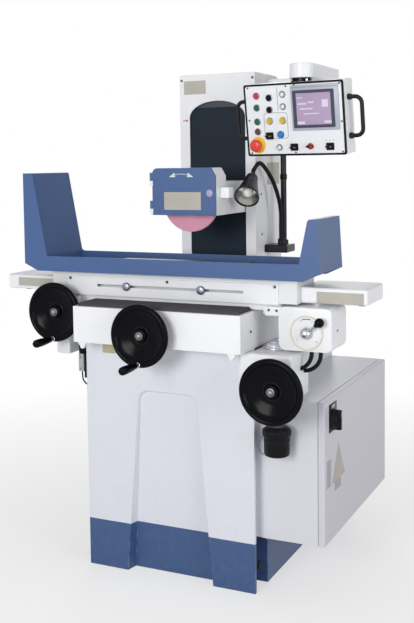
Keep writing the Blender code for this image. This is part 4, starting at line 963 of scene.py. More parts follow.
# ---- the machine's assemblies -------------------------------------------------------------------
@dataclass
class Base:
    """Base casting, front housing, cross way bellows and the small things on them."""

    plug: Point = (0.305, -0.229, 0.079)
    folds: int = 9
    fold_height: float = 0.006
    tab_screw: Point = (0.296, -0.273, 0.8332)
    switch: Point = (-0.3368, -0.264, 0.657)
    lead: float = 0.0050

    def build(self) -> None:
        """Dresses the castings and adds the plug, the screws, the bellows and the switch."""
        paint(BASE_WHITE, "base")
        paint(WHITE, "front_housing", "lift_gearbox")
        self.bellows()
        self.limit_switch()
        lump = Lump()
        lump.screw(self.tab_screw, (1, 0, 0), 0.0045)
        fit(lump.done("housing_side_screw"), "base", SCREW_BLACK)
        x, y, z = self.plug
        lump = Lump().lathe([(0.0, 0.002), (0.012, 0.002), (0.014, 0.0), (0.014, -0.004)],
                            (x - 0.002, y, z), (1, 0, 0), 32)
        fit(lump.done("base_plug"), "base", RUBBER)
        low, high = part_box("front_housing")
        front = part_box("base")[0].y
        lump = Lump().slab((-0.238, front - 0.0035, low.z - 0.026),
                           (-0.158, front + 0.0004, low.z + 0.004), 0.0015)
        fit(lump.done("housing_wiper"), "base", Moulded("felt_wiper", (0.42, 0.37, 0.24), 0.7,
                                                        texture=0.0004, dust=0.25))

    def bellows(self) -> None:
        """Pleated cloth from the front housing to the saddle."""
        low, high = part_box("way_bellows")
        lump = Lump()
        rows = []
        steps = self.folds * 2
        for i in range(steps + 1):
            y = low.y + (high.y - low.y) * i / steps
            top = high.z - (self.fold_height if i % 2 == 0 else 0.0)
            rows.append([lump.shape.verts.new(p) for p in (
                (low.x, y, low.z), (low.x, y, top - 0.004), (low.x + 0.004, y, top),
                (high.x - 0.004, y, top), (high.x, y, top - 0.004), (high.x, y, low.z))])
        lump.skin(rows)
        piece = lump.done("bellows", 20.0)
        piece.data.materials.append(Cloth("bellows_cloth").material())
        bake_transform(piece)
        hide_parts("way_bellows")
        LOG.info("bellows follows base and saddle")

    def limit_switch(self) -> None:
        """Travel switch on its bracket at the base's left shoulder, with its lead."""
        x, y, z = self.switch
        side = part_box("base")[0].x
        lump = Lump().slab((x, y, z), (x + 0.0195, y + 0.034, z + 0.060), 0.002)
        lump.slab((x + 0.003, y - 0.0018, z + 0.004), (x + 0.0165, y + 0.002, z + 0.056), 0.0012)
        fit(lump.done("travel_switch"), "base", HOUSING_SIDE)
        lump = Lump().slab((x + 0.0195, y + 0.004, z - 0.022), (-0.3030, y + 0.038, z + 0.061),
                           0.0025)
        lump.slab((x + 0.0005, y + 0.002, z + 0.060), (x + 0.0172, y + 0.028, z + 0.088), 0.0025)
        lump.slab((x + 0.0165, y + 0.006, z + 0.064), (side + 0.001, y + 0.024, z + 0.078), 0.002)
        lump.tube(curve([(x + 0.009, y + 0.012, z + 0.086), (x + 0.006, y + 0.012, z + 0.094),
                         (x + 0.002, y + 0.010, z + 0.100)]), 0.0035, 12)
        fit(lump.done("travel_switch_arm"), "base", BLACK)
        lump = Lump().screw((x + 0.0098, y - 0.0018, z + 0.049), (0, -1, 0), 0.0026)
        lump.screw((x + 0.0098, y - 0.0018, z + 0.011), (0, -1, 0), 0.0026)
        fit(lump.done("travel_switch_screws"), "base", SCREW_BLACK)
        path = curve([(x + 0.006, y + 0.014, z + 0.001), (x + 0.006, y + 0.014, z - 0.014),
                      (x + 0.008, y + 0.015, z - 0.030), (x + 0.016, y + 0.018, z - 0.043),
                      (x + 0.027, y + 0.022, z - 0.049), (side - 0.0008, y + 0.025, z - 0.0505)], 6)
        length = sum((b - a).length for a, b in zip(path, path[1:]))
        piece = Lump().tube(path, self.lead / 2, 14).done("switch_lead")
        fit(piece, "base", RUBBER)
        lump = Lump().lathe([(0.0, 0.005), (0.0045, 0.005), (0.0062, 0.003), (0.0062, -0.001),
                             (0.0, -0.001)], (side, path[-1].y, path[-1].z), (-1, 0, 0), 24)
        fit(lump.done("switch_lead_gland"), "base", BLACK)


@dataclass
class Column:
    """Column cover with its screws, plates and seams, and the telescopic way plates."""

    screw_rise: float = 0.019
    screw_in: float = 0.009
    side_screws: tuple[tuple[float, float], ...] = (
        (0.1947, 1.2399), (0.201, 1.097), (0.1947, 1.52), (0.201, 0.93))
    front_plate: tuple[float, float, float, float] = (-0.129, -0.043, 1.5985, 1.646)
    side_plate: tuple[float, float, float, float] = (0.2555, 0.3735, 1.2725, 1.352)
    arrow: Profile = ((-0.134, 1.5035), (-0.121, 1.5035), (-0.121, 1.4995), (-0.1135, 1.5052),
                      (-0.121, 1.511), (-0.121, 1.507), (-0.134, 1.507))
    rear_bend: Profile = ((0.052, 0.0032), (0.030, 0.006), (0.012, 0.0185), (0.0034, 0.042),
                          (0.0026, 0.070))
    ridge: Profile = ((0.2235, 1.272), (0.236, 1.262), (0.247, 1.236), (0.2535, 1.19),
                      (0.2575, 1.13), (0.262, 1.05), (0.2625, 0.98))

    def build(self) -> None:
        """Dresses the column and adds what is fixed to its outside."""
        paint(WHITE, "column_cover")
        # The inner column casting carries near-black painted shade.
        paint(INNER_PAINTED_SHADE, "column")
        paint(WayCover("way_cover"), "way_plate_upper", "way_plate_lower",
              "way_plate_upper_middle", "way_plate_lower_middle")
        paint(TURNED, "lift_screw")
        low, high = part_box("column_cover")
        lump = Lump()
        z = high.z - self.screw_rise
        for x in (low.x + self.screw_in - 0.001, high.x - self.screw_in):
            lump.screw((x, low.y, z), (0, -1, 0), 0.0045)
        for y, height in self.side_screws:
            lump.screw((high.x, y, height), (1, 0, 0), 0.004)
            lump.screw((low.x, y, height), (-1, 0, 0), 0.004)
        fit(lump.done("cover_screws"), "base", SCREW_BLACK)
        x0, x1, z0, z1 = self.front_plate
        lump = Lump().slab((x0, low.y - 0.0008, z0), (x1, low.y, z1), 0.0003, 1)
        fit(lump.done("front_plate"), "base", PLATE_PALE)
        y0, y1, z0, z1 = self.side_plate
        lump = Lump().slab((high.x, y0, z0), (high.x + 0.0008, y1, z1), 0.0003, 1)
        fit(lump.done("side_plate"), "base", PLATE_PALE)
        lump = Lump().sheet(self.arrow, low.y - 0.0006, low.y + 0.0004)
        fit(lump.done("direction_mark"), "base", MARK_RED)
        ridge = curve([(high.x, y, height) for y, height in self.ridge])
        fit(Lump().tube(ridge, 0.0028, 10).done("cover_ridge"), "base", WHITE)
        for side, x in (("left", low.x + 0.0024), ("right", high.x - 0.0024)):
            edge = curve([(x, high.y - back, high.z - fall) for back, fall in self.rear_bend]
                         + [(x, high.y - 0.0026, 1.30), (x, high.y - 0.0026, low.z + 0.05)])
            fit(Lump().tube(edge, 0.0024, 10).done(f"cover_rear_seal_{side}"), "base", RUBBER)


@dataclass
class Head:
    """Wheel head, guard with its hinged door, spindle, wheel and motor."""

    tabs: tuple[tuple[float, float], ...] = ((1.277, 1.322), (1.184, 1.228))
    plate: tuple[float, float, float, float] = (-0.073, 0.063, 1.198, 1.257)
    arrow_rise: float = 0.004
    cube: tuple[Point, Point] = ((0.117, -0.096, 1.236), (0.150, -0.056, 1.272))

    def build(self) -> None:
        """Dresses the head and adds the door's fittings, the wheel and the motor."""
        paint(WHITE, "wheel_head", "wheel_guard")
        paint(BLUE, "wheel_guard_door")
        low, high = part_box("wheel_guard_door")
        for name, finish, start, end in (("upper", BLUE, 0.42, 1.0), ("lower", WHITE, 0.0, 0.40)):
            lump = Lump()
            for bottom, top in self.tabs:
                z0, z1 = bottom + (top - bottom) * start, bottom + (top - bottom) * end
                lump.lathe([(0.0, z1 - z0), (0.0030, z1 - z0), (0.0037, z1 - z0 - 0.0008),
                            (0.0037, 0.0008), (0.0030, 0.0), (0.0, 0.0)],
                           (low.x + 0.0032, low.y + 0.0026, z0), (0, 0, 1), 24)
                lump.slab((low.x + 0.004, low.y - 0.0008, z0), (low.x + 0.012, low.y + 0.0008, z1),
                          0.0006, 1)
            fit(lump.done(f"door_knuckles_{name}"), "guard_door", finish)
        x0, x1, z0, z1 = self.plate
        lump = Lump().slab((x0, low.y - 0.0007, z0), (x1, low.y + 0.0001, z1), 0.0002, 1)
        fit(lump.done("door_plate"), "guard_door", PLATE_PALE)
        self.arrow(low.y)
        lump = Lump().lathe([(0.0, 0.003), (0.009, 0.003), (0.012, 0.001), (0.012, -0.001)],
                            (0.0945, low.y, 1.2535), (0, -1, 0), 36)
        fit(lump.done("door_plug"), "guard_door", LILAC)
        lump = Lump().slab(*self.cube, 0.003)
        fit(lump.done("guard_side_box"), "head", WHITE)
        self.wheel()
        self.motor()

    def arrow(self, y: float) -> None:
        """The two-headed turning mark, a shallow arch of white paint on the door.

        Args:
            y: The door's face.
        """
        lump = Lump()
        middle, radius, half = Vector((-0.0085, 0.0, 1.2135)), 0.1035, 19.0
        top, bottom = [], []
        for i in range(17):
            a = math.radians(90 + half - 2 * half * i / 16)
            for line, r in ((top, radius + 0.0008), (bottom, radius - 0.0008)):
                line.append((middle.x + r * math.cos(a), middle.z + r * math.sin(a)))
        lump.sheet(top + bottom[::-1], y - 0.0004, y + 0.0002)
        for sign in (-1, 1):
            a = math.radians(90 + sign * (half - 6.0))
            tip = math.radians(90 + sign * (half + 6.5))
            out = [(middle.x + r * math.cos(b), middle.z + r * math.sin(b))
                   for r, b in ((radius + 0.0075, a), (radius, tip), (radius - 0.0075, a))]
            lump.sheet(out if sign < 0 else out[::-1], y - 0.0004, y + 0.0002)
        fit(lump.done("turning_mark"), "guard_door", MARK_WHITE)

    def wheel(self) -> None:
        """Abrasive wheel between its paper blotters and flange, and the spindle's nut."""
        low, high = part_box("grinding_wheel")
        middle = pivot("spindle_turn")
        radius, bore = (high.x - low.x) / 2, 0.0162
        foot = (middle.x, low.y, middle.z)
        wide = high.y - low.y
        ring = [(bore, 0.0), (radius - 0.0016, 0.0), (radius - 0.0004, 0.0005), (radius, 0.0016),
                (radius, wide - 0.0016), (radius - 0.0004, wide - 0.0005),
                (radius - 0.0016, wide), (bore, wide)]
        lump = Lump().lathe(ring, foot, (0, 1, 0), 128, closed=True)
        fit(lump.done("abrasive_wheel"), "spindle", Abrasive("pink_abrasive"), "grinding_wheel")
        lump = Lump().lathe([(0.0335, 0.0), (0.0335, -0.0006), (0.050, -0.0006), (0.050, 0.0)],
                            foot, (0, 1, 0), 64, closed=True)
        lump.lathe([(0.0345, wide + 0.0002), (0.0345, wide + 0.0008), (0.050, wide + 0.0008),
                    (0.050, wide + 0.0002)], foot, (0, 1, 0), 64, closed=True)
        fit(lump.done("wheel_blotters"), "spindle", CREAM, slot="grinding_wheel")
        low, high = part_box("spindle")
        foot = (middle.x, low.y, middle.z)
        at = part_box("grinding_wheel")[0].y - low.y
        lump = Lump().lathe([(0.0, 0.0), (0.010, 0.0), (0.0145, 0.001), (0.0155, 0.002),
                             (0.0155, at + wide + 0.0003), (0.034, at + wide + 0.0006),
                             (0.034, at + wide + 0.0055), (0.026, at + wide + 0.008),
                             (0.026, 0.044), (0.030, 0.0442), (0.030, high.y - low.y - 0.001),
                             (0.0, high.y - low.y)], foot, (0, 1, 0), 64)
        fit(lump.done("wheel_spindle"), "spindle", TURNED, "spindle")
        lump = Lump().lathe([(0.0158, 0.0022), (0.026, 0.0022), (0.0275, 0.004),
                             (0.0275, at - 0.0012), (0.0158, at - 0.0012)], foot, (0, 1, 0),
                            48, 6, 0.0, True)
        for i in range(4):
            a = math.tau * i / 4 + 0.4
            lump.screw((middle.x + 0.021 * math.cos(a), low.y + 0.0024,
                        middle.z + 0.021 * math.sin(a)), (0, -1, 0), 0.0022)
        fit(lump.done("wheel_flange"), "spindle", DOG_STEEL, slot="spindle")

    def motor(self) -> None:
        """Finned spindle motor behind the head."""
        low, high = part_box("spindle_motor")
        middle = pivot("spindle_turn")
        radius, length = (high.x - low.x) / 2, high.y - low.y
        lump = Lump().lathe([(0.0, 0.0), (0.030, 0.0), (radius - 0.006, 0.004),
                             (radius, 0.010), (radius, length - 0.030),
                             (radius - 0.003, length - 0.028), (radius - 0.003, length - 0.012),
                             (radius - 0.010, length - 0.001), (0.0, length)],
                            (middle.x, low.y, middle.z), (0, 1, 0), 144, 36, 0.004)
        fit(lump.done("finned_motor"), "head", MOTOR_GREY, "spindle_motor")


@dataclass
class Table:
    """Saddle, table, end covers, trip dogs and the splash guard round them."""

    screws: tuple[float, ...] = (-0.368, -0.001, 0.369)
    screw_rise: float = 0.007
    bumpers: tuple[float, ...] = (-0.57, 0.63)
    fillet: float = 0.014
    corners: tuple[tuple[float, float, float, float], ...] = (
        (-0.437, 1.047, -0.488, 1.325), (0.460, 1.047, 0.487, 1.182))
    plates: tuple[tuple[float, float, float, float], ...] = (
        (-0.606, -0.457, 0.932, 0.961), (0.492, 0.639, 0.924, 0.959))

    def build(self) -> None:
        """Dresses the table's pieces and adds screws, plates, dogs and bumpers."""
        paint(WHITE, "saddle", "table_front_panel", "end_cover_left", "end_cover_right",
              "table_gearbox")
        paint(TURNED, "hydraulic_cylinder", "cross_screw")
        paint(GroundTop("ground_face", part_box("splash_guard")[0].z), "table")
        paint(BLUE, "splash_guard")
        low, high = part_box("table_front_panel")
        lump = Lump()
        for x in self.screws:
            lump.screw((x, low.y, high.z - self.screw_rise), (0, -1, 0), 0.0048)
        fit(lump.done("panel_screws"), "table", SCREW_BLACK)
        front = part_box("end_cover_left")[0].y
        for name, (x0, x1, z0, z1) in zip(("left", "right"), self.plates):
            lump = Lump().slab((x0, front - 0.0007, z0), (x1, front + 0.0002, z1), 0.0002, 1)
            fit(lump.done(f"end_plate_{name}"), "table", PLATE_PALE)
        lump = Lump()
        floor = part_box("end_cover_left")[0].z
        for x in self.bumpers:
            lump.lathe([(0.0, 0.0006), (0.0100, 0.0006), (0.0115, -0.0004), (0.0108, -0.0018),
                        (0.0, -0.0020)], (x, front + 0.014, floor), (0, 0, 1), 28)
        fit(lump.done("end_bumpers"), "table", RUBBER)
        self.fillets()
        for side in ("left", "right"):
            self.dog(side)

    def fillets(self) -> None:
        """Round webs in the corners between the splash guard's back rim and its ends."""
        lump = Lump()
        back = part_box("splash_guard")[1].y
        for sign, (x, z, top_x, top_z) in zip((1, -1), self.corners):
            lean = Vector((top_x - x, top_z - z)).normalized()
            corner, rim = Vector((x, z)), Vector((sign, 0.0))
            middle = corner + (lean + rim).normalized() * (
                self.fillet / math.sin(lean.angle(rim) / 2))
            reach = self.fillet / math.tan(lean.angle(rim) / 2)
            ends = (corner + rim * reach - middle, corner + lean * reach - middle)
            arc = [middle + ends[0].slerp(ends[1], i / 8) * self.fillet for i in range(9)]
            outline = [tuple(corner + (rim + lean) * -0.0006)] + [tuple(point) for point in arc]
            lump.sheet(outline, back - 0.0022, back - 0.0004)
        fit(lump.done("guard_fillets"), "table", BLUE, slot="splash_guard")

    def dog(self, side: str) -> None:
        """A trip dog: a knurled clamp knob whose stem runs in the panel's slot.

        Args:
            side: left or right.
        """
        low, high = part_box(f"trip_dog_{side}")
        middle = (low + high) / 2
        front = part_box("table_front_panel")[0].y
        r, deep = (high.x - low.x) / 2, high.y - low.y
        out = front - low.y
        lump = Lump().lathe([(0.0, 0.0), (r - 0.004, 0.0), (r - 0.001, 0.0015), (r, 0.003),
                             (r, out - 0.0025), (r - 0.0015, out - 0.0006),
                             (0.0036, out - 0.0005), (0.0036, deep - 0.006),
                             (0.0088, deep - 0.0055), (0.0088, deep - 0.0005), (0.0, deep)],
                            (middle.x, low.y, middle.z), (0, 1, 0), 72, 24, 0.0008)
        fit(lump.done(f"dog_{side}_knob"), f"dog_{side}", DOG_STEEL, f"trip_dog_{side}")


@dataclass
class Handwheel:
    """A dished handwheel with a bright hub screw, and its turning grip."""

    name: str
    pin: float = 0.089
    grip: str | None = None

    def build(self) -> None:
        """Turns the wheel, its hub fittings and its grip."""
        low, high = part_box(self.name)
        at = Vector(JOINTS[f"{self.name}_turn"]["pos_m"])
        r, deep = (high.x - low.x) / 2, high.y - low.y
        hub = 0.021
        rim = [(r - 0.0180, 0.0075), (r - 0.0160, 0.0035), (r - 0.0120, 0.0010),
               (r - 0.0075, 0.0), (r - 0.0035, 0.0016), (r - 0.0008, 0.0052), (r, 0.0095),
               (r - 0.0008, 0.0145), (r - 0.0035, 0.0190), (r - 0.0080, 0.0216),
               (r - 0.0160, 0.0216)]
        dish = [(0.0, 0.0085), (hub - 0.004, 0.0085), (hub - 0.001, 0.0095), (hub, 0.012),
                (hub + 0.001, 0.0232), (hub + 0.004, 0.0238), (0.045, 0.0198), (0.065, 0.0142),
                (r - 0.0205, 0.0098)]
        back = [(0.060, 0.0262), (hub + 0.003, 0.0320), (hub, 0.0345), (hub, 0.0445),
                (hub - 0.001, 0.045), (0.0108, 0.045), (0.0108, deep), (0.0, deep)]
        lump = Lump().lathe(dish + rim + back, at, (0, 1, 0), 128)
        fit(lump.done(f"{self.name}_disc", 50.0), self.name, WHEEL_BLACK, self.name)
        lump = Lump().lathe([(0.0, -0.0028), (0.0040, -0.0028), (0.0075, -0.0020),
                             (0.0095, 0.0), (0.0105, 0.0040), (0.0125, 0.0044),
                             (0.0135, 0.0060), (0.0135, 0.0086), (0.0, 0.0086)],
                            at, (0, 1, 0), 48)
        fit(lump.done(f"{self.name}_hub_screw"), self.name, HUB_GREY, slot=self.name)
        lump = Lump().lathe([(0.0255, 0.0232), (0.0255, 0.0205), (0.0275, 0.0195),
                             (0.0295, 0.0205), (0.0295, 0.0226)], at, (0, 1, 0), 72, closed=True)
        fit(lump.done(f"{self.name}_collar"), self.name, BLACK, slot=self.name)
        if self.grip:
            self.handle(at)

    def handle(self, at: Vector) -> None:
        """The grip on its pin, with a bright ferrule where it leaves the rim.

        Args:
            at: The wheel's centre.
        """
        low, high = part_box(f"{self.name}_grip")
        foot = (at.x, at.y, at.z - self.pin)
        length = at.y - low.y
        profile = [(0.0, length), (0.0065, length), (0.0105, length - 0.0020),
                   (0.0128, length - 0.0065), (0.0135, length - 0.0180),
                   (0.0130, length - 0.0400), (0.0110, 0.0380), (0.0096, 0.0260),
                   (0.0090, 0.0200), (0.0088, 0.0185), (0.0, 0.0185)]
        lump = Lump().lathe(profile, foot, (0, -1, 0), 48)
        body = self.grip
        fit(lump.done(f"{body}_handle", 50.0), body, WHEEL_BLACK, f"{self.name}_grip")
        lump = Lump().lathe([(0.0, 0.0190), (0.0082, 0.0188), (0.0090, 0.0170), (0.0074, 0.0150),
                             (0.0074, 0.0060), (0.0086, 0.0045), (0.0086, 0.0008),
                             (0.0040, 0.0008), (0.0040, -0.0138), (0.0, -0.0138)],
                            foot, (0, -1, 0), 40)
        fit(lump.done(f"{body}_ferrule"), body, CHROME, slot=f"{self.name}_grip")


@dataclass
class LeverBox:
    """Reversing box with its dial and ball lever, and the sight bowl on the lift gearbox."""

    dial_radius: float = 0.053
    ball: Point = (0.522, -0.2865, 0.875)
    bowl_at: tuple[float, float] = (0.3560, -0.2110)
    hose: float = 0.0130
    hose_runs: tuple[tuple[float, float, float], ...] = ((0.480, 0.030, 0.012),
                                                         (0.4995, 0.058, 0.020))

    def build(self) -> None:
        """Makes the box and adds dial, marks, hub, rod, ball and screws."""
        at = pivot("reversing_lever_turn")
        low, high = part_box("lever_box")
        front = low.y
        left = at.x - 0.090
        outline = round_box((high.x - left) / 2, (high.z - low.z) / 2, 0.016, 6,
                            ((high.x + left) / 2, (high.z + low.z) / 2))
        lump = Lump().sheet(outline, front, high.y, round_by=0.0045)
        lump.slab((low.x, front + 0.002, high.z - 0.030), (left + 0.02, front + 0.011,
                                                          high.z - 0.002), 0.002)
        lump.slab((low.x + 0.010, front + 0.004, high.z - 0.028), (left + 0.01, high.y - 0.03,
                                                                  high.z - 0.004), 0.002)
        fit(lump.done("valve_box"), "saddle", WHITE, "lever_box")
        r = self.dial_radius
        lump = Lump().lathe([(0.0, -0.0016), (r - 0.002, -0.0016), (r - 0.002, 0.0),
                             (r - 0.003, 0.0004), (0.0, 0.0004)],
                            (at.x, front + 0.0008, at.z), (0, -1, 0), 96)
        fit(lump.done("lever_dial"), "saddle", WHITE)
        lump = Lump().lathe([(r - 0.0042, -0.0008), (r - 0.0042, 0.0016), (r - 0.0030, 0.0024),
                             (r - 0.0012, 0.0024), (r, 0.0014), (r, -0.0008)],
                            (at.x, front, at.z), (0, -1, 0), 96, closed=True)
        fit(lump.done("dial_ring"), "saddle", CREAM)
        lump = Lump()
        y = front - 0.0018
        for start, end, radius in ((74, 112, 0.0425), (28, 44, 0.0425)):
            outer, inner = [], []
            for i in range(13):
                a = math.radians(start + (end - start) * i / 12)
                for line, q in ((outer, radius + 0.0011), (inner, radius - 0.0011)):
                    line.append((at.x + q * math.cos(a), at.z + q * math.sin(a)))
            lump.sheet((outer + inner[::-1])[::-1], y, y + 0.0014)
        for degrees in (118, 64, -38, 215):
            a = math.radians(degrees)
            c, s = math.cos(a), math.sin(a)
            corners = [(at.x + q * c - w * s, at.z + q * s + w * c)
                       for q, w in ((0.038, -0.0006), (0.042, -0.0006), (0.042, 0.0006),
                                    (0.038, 0.0006))]
            lump.sheet(corners[::-1], y, y + 0.0014)
        fit(lump.done("dial_marks"), "saddle", MARK_BLACK)
        lump = Lump().lathe([(0.0, 0.0258), (0.006, 0.0252), (0.0115, 0.0226), (0.0155, 0.0175),
                             (0.0175, 0.0105), (0.0178, 0.0035), (0.0178, 0.0018),
                             (0.0088, 0.0016), (0.0088, -0.0295), (0.0, -0.0295)],
                            at, (0, -1, 0), 64)
        fit(lump.done("lever_hub"), "lever", CHROME, "reversing_lever")
        root = Vector((at.x + 0.006, at.y - 0.015, at.z + 0.0047))
        lump = Lump().tube([root, root.lerp(Vector(self.ball), 0.5), Vector(self.ball)], 0.0042, 24)
        fit(lump.done("lever_rod"), "lever", CHROME, slot="reversing_lever")
        along = (Vector(self.ball) - root).normalized()
        arc = [(0.0146 * math.sin(math.radians(a)), -0.0146 * math.cos(math.radians(a)))
               for a in range(0, 181, 12)]
        lump = Lump().lathe(arc, self.ball, along, 40)
        lump.lathe([(0.0055, -0.019), (0.0070, -0.018), (0.0070, -0.012), (0.0, -0.012)],
                   self.ball, along, 32)
        fit(lump.done("lever_ball"), "lever", WHEEL_BLACK, slot="reversing_lever")
        lump = Lump()
        for x, z in ((0.352, 0.9015), (0.3775, 0.9005)):
            lump.screw((x, front + 0.002, z), (0, -1, 0), 0.0042)
        lump.screw((high.x, front + 0.055, at.z + 0.004), (1, 0, 0), 0.0034)
        fit(lump.done("lever_box_screws"), "saddle", SCREW_BLACK)
        self.bowl()
        self.hoses()

    def bowl(self) -> None:
        """Clear stepped oil bowl standing on the lift gearbox."""
        low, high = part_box("lift_gearbox")
        x, y, z = self.bowl_at[0], self.bowl_at[1], high.z
        lump = Lump().lathe([(0.0, 0.0), (0.034, 0.0), (0.0358, 0.0012), (0.0358, 0.0058),
                             (0.0345, 0.0074), (0.0292, 0.0078), (0.0282, 0.0100),
                             (0.0282, 0.0168), (0.0255, 0.0196), (0.0180, 0.0210),
                             (0.0168, 0.0246), (0.0140, 0.0256), (0.0, 0.0256)],
                            (x, y, z - 0.0005), (0, 0, 1), 96, 24, 0.0005)
        fit(lump.done("oil_bowl"), "base", TANK)
        lump = Lump().lathe([(0.0362, 0.0012), (0.0366, 0.0020), (0.0366, 0.0042),
                             (0.0362, 0.0050), (0.0354, 0.0050), (0.0354, 0.0012)], (x, y, z),
                            (0, 0, 1), 72, closed=True)
        fit(lump.done("oil_bowl_band"), "base", CHROME)

    def hoses(self) -> None:
        """Two oil hoses from under the valve box down to the lift gearbox."""
        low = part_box("lever_box")[0]
        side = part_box("lift_gearbox")[1].x
        bend = self.hose * 4.2
        for number, (x, back, drop) in enumerate(self.hose_runs):
            y = low.y + back
            path = [Vector((x, y, low.z + 0.003 - drop * i / 3)) for i in range(3)]
            sweep = math.acos(1.0 - (x - side) / bend)
            for i in range(15):
                a = sweep * i / 14
                path.append(Vector((x - bend * (1.0 - math.cos(a)), y,
                                    low.z + 0.003 - drop - bend * math.sin(a))))
            path.append(path[-1] + (path[-1] - path[-2]).normalized() * 0.002)
            piece = Lump().tube(path, self.hose / 2, 18).done(f"oil_hose_{number}")
            piece.data.materials.append(RUBBER.material())
            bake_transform(piece)
            LOG.info("oil_hose_%d bends between saddle and base", number)


@dataclass
class Cabinet:
    """Electrical cabinet, its door with a rotary switch, hinges and bare plates."""

    plates: tuple[tuple[float, float, float, float], ...] = (
        (-0.1955, -0.1575, 0.341, 0.4275), (-0.118, -0.054, 0.312, 0.350))
    triangle: tuple[tuple[float, float], ...] = ((-0.142, 0.342), (-0.010, 0.342), (-0.076, 0.457))

    def build(self) -> None:
        """Dresses the cabinet and adds what is fixed to its door."""
        paint(CABINET, "electrical_cabinet")
        paint(DOOR_GREY, "cabinet_door")
        low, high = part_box("electrical_cabinet")
        lump = Lump().slab((low.x - 0.042, low.y - 0.0002, low.z + 0.001),
                           (low.x + 0.004, low.y + 0.0030, high.z - 0.001), 0.0006, 1)
        lump.slab((low.x - 0.0016, low.y - 0.0008, low.z + 0.001),
                  (low.x + 0.0004, low.y + 0.001, high.z - 0.001), 0.0003, 1)
        fit(lump.done("cabinet_front_flange"), "base", CABINET, slot="electrical_cabinet")
        low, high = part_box("cabinet_door")
        face = high.x
        lump = Lump()
        for z in (low.z + 0.07, high.z - 0.07):
            lump.lathe([(0.0, 0.05), (0.0045, 0.0495), (0.0045, 0.0005), (0.0, 0.0)],
                       (face - 0.0046, high.y - 0.0046, z - 0.025), (0, 0, 1), 20)
        fit(lump.done("door_hinge_pins"), "cabinet_door", CHROME)
        lump = Lump().sheet(self.triangle, face - 0.0002, face + 0.0006, "x")
        fit(lump.done("door_labels"), "cabinet_door", PLATE_PALE)
        lump = Lump()
        for y0, y1, z0, z1 in self.plates:
            lump.slab((face - 0.0002, y0, z0), (face + 0.0004, y1, z1), 0.0001, 1)
        fit(lump.done("door_plates"), "cabinet_door", PLATE_GREY)
        at = pivot("main_switch_turn")
        high_plate, wide = 0.046, 0.036
        lump = Lump().slab((face - 0.0005, at.y - wide, at.z - high_plate + 0.010),
                           (face + 0.0026, at.y + wide, at.z + high_plate + 0.006), 0.0012, 2)
        fit(lump.done("switch_plate"), "cabinet_door", BLACK)
        lump = Lump().slab((face + 0.002, at.y - 0.016, at.z + 0.037),
                           (face + 0.0031, at.y + 0.016, at.z + 0.048), 0.0004, 1)
        fit(lump.done("switch_window"), "cabinet_door", HOUSING_SIDE)
        low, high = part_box("main_switch")
        r, out = (high.z - low.z) / 2, high.x - face
        lump = Lump().lathe([(0.0, out - 0.010), (r - 0.011, out - 0.010), (r - 0.009, out - 0.013),
                             (r - 0.0065, 0.0105), (r - 0.0015, 0.0085), (r - 0.0002, 0.0065),
                             (r - 0.0002, 0.0030), (0.0078, 0.0030), (0.0078, -0.0175),
                             (0.0, -0.0175)], at, (1, 0, 0), 72, 18, 0.0006)
        lump.slab((at.x + 0.008, at.y - 0.0068, at.z - r + 0.0025),
                  (at.x + out - 0.0004, at.y + 0.0068, at.z + r - 0.0025), 0.0030, 3)
        fit(lump.done("rotary_switch"), "main_switch", BLACK, "main_switch")
        lump = Lump().slab((at.x + out - 0.0008, at.y - 0.0009, at.z + 0.008),
                           (at.x + out - 0.0001, at.y + 0.0009, at.z + 0.024), 0.0003, 1)
        fit(lump.done("switch_pointer"), "main_switch", MARK_WHITE, slot="main_switch")
        self.filler()

    def filler(self) -> None:
        """Oil filler cup, knurled breather cap and the chain that keeps the cap."""
        at = pivot("filler_cap_turn")
        low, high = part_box("oil_filler")
        r = (high.x - low.x) / 2
        top, bottom = high.z, low.z
        lump = Lump().lathe([(0.0, bottom + 0.004), (r - 0.006, bottom + 0.007),
                             (r - 0.0045, bottom + 0.010), (r - 0.0045, top),
                             (r - 0.001, top - 0.0002), (r, top - 0.0012), (r, top - 0.007),
                             (r - 0.0012, top - 0.0085), (r - 0.0012, bottom + 0.009),
                             (r - 0.003, bottom + 0.003), (r - 0.008, bottom), (0.0, bottom)],
                            (at.x, at.y, 0), (0, 0, 1), 80)
        lump.slab((at.x - 0.021, at.y + r - 0.004, bottom + 0.013),
                  (at.x + 0.021, high.y, top - 0.007), 0.002)
        fit(lump.done("filler_cup"), "base", BLACK, "oil_filler")
        low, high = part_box("filler_cap")
        r = (high.x - low.x) / 2
        z = high.z
        lump = Lump().lathe([(0.0, z - 0.0015), (0.012, z - 0.0010), (0.014, z), (0.029, z),
                             (0.036, z - 0.0035), (r - 0.0026, z - 0.0085), (r, z - 0.0115),
                             (r, z - 0.0255), (r - 0.0030, z - 0.0300), (0.0405, z - 0.0376),
                             (0.0350, z - 0.0377), (0.0350, z - 0.0495), (0.0, z - 0.0495)],
                            (at.x, at.y, 0), (0, 0, 1), 120, 30, 0.0014)
        fit(lump.done("breather_cap"), "filler_cap", BLACK, "filler_cap")
        self.chain(Vector((at.x - 0.041, at.y - 0.004, z - 0.030)),
                   Vector((at.x - 0.0385, at.y + 0.006, bottom + 0.006)))

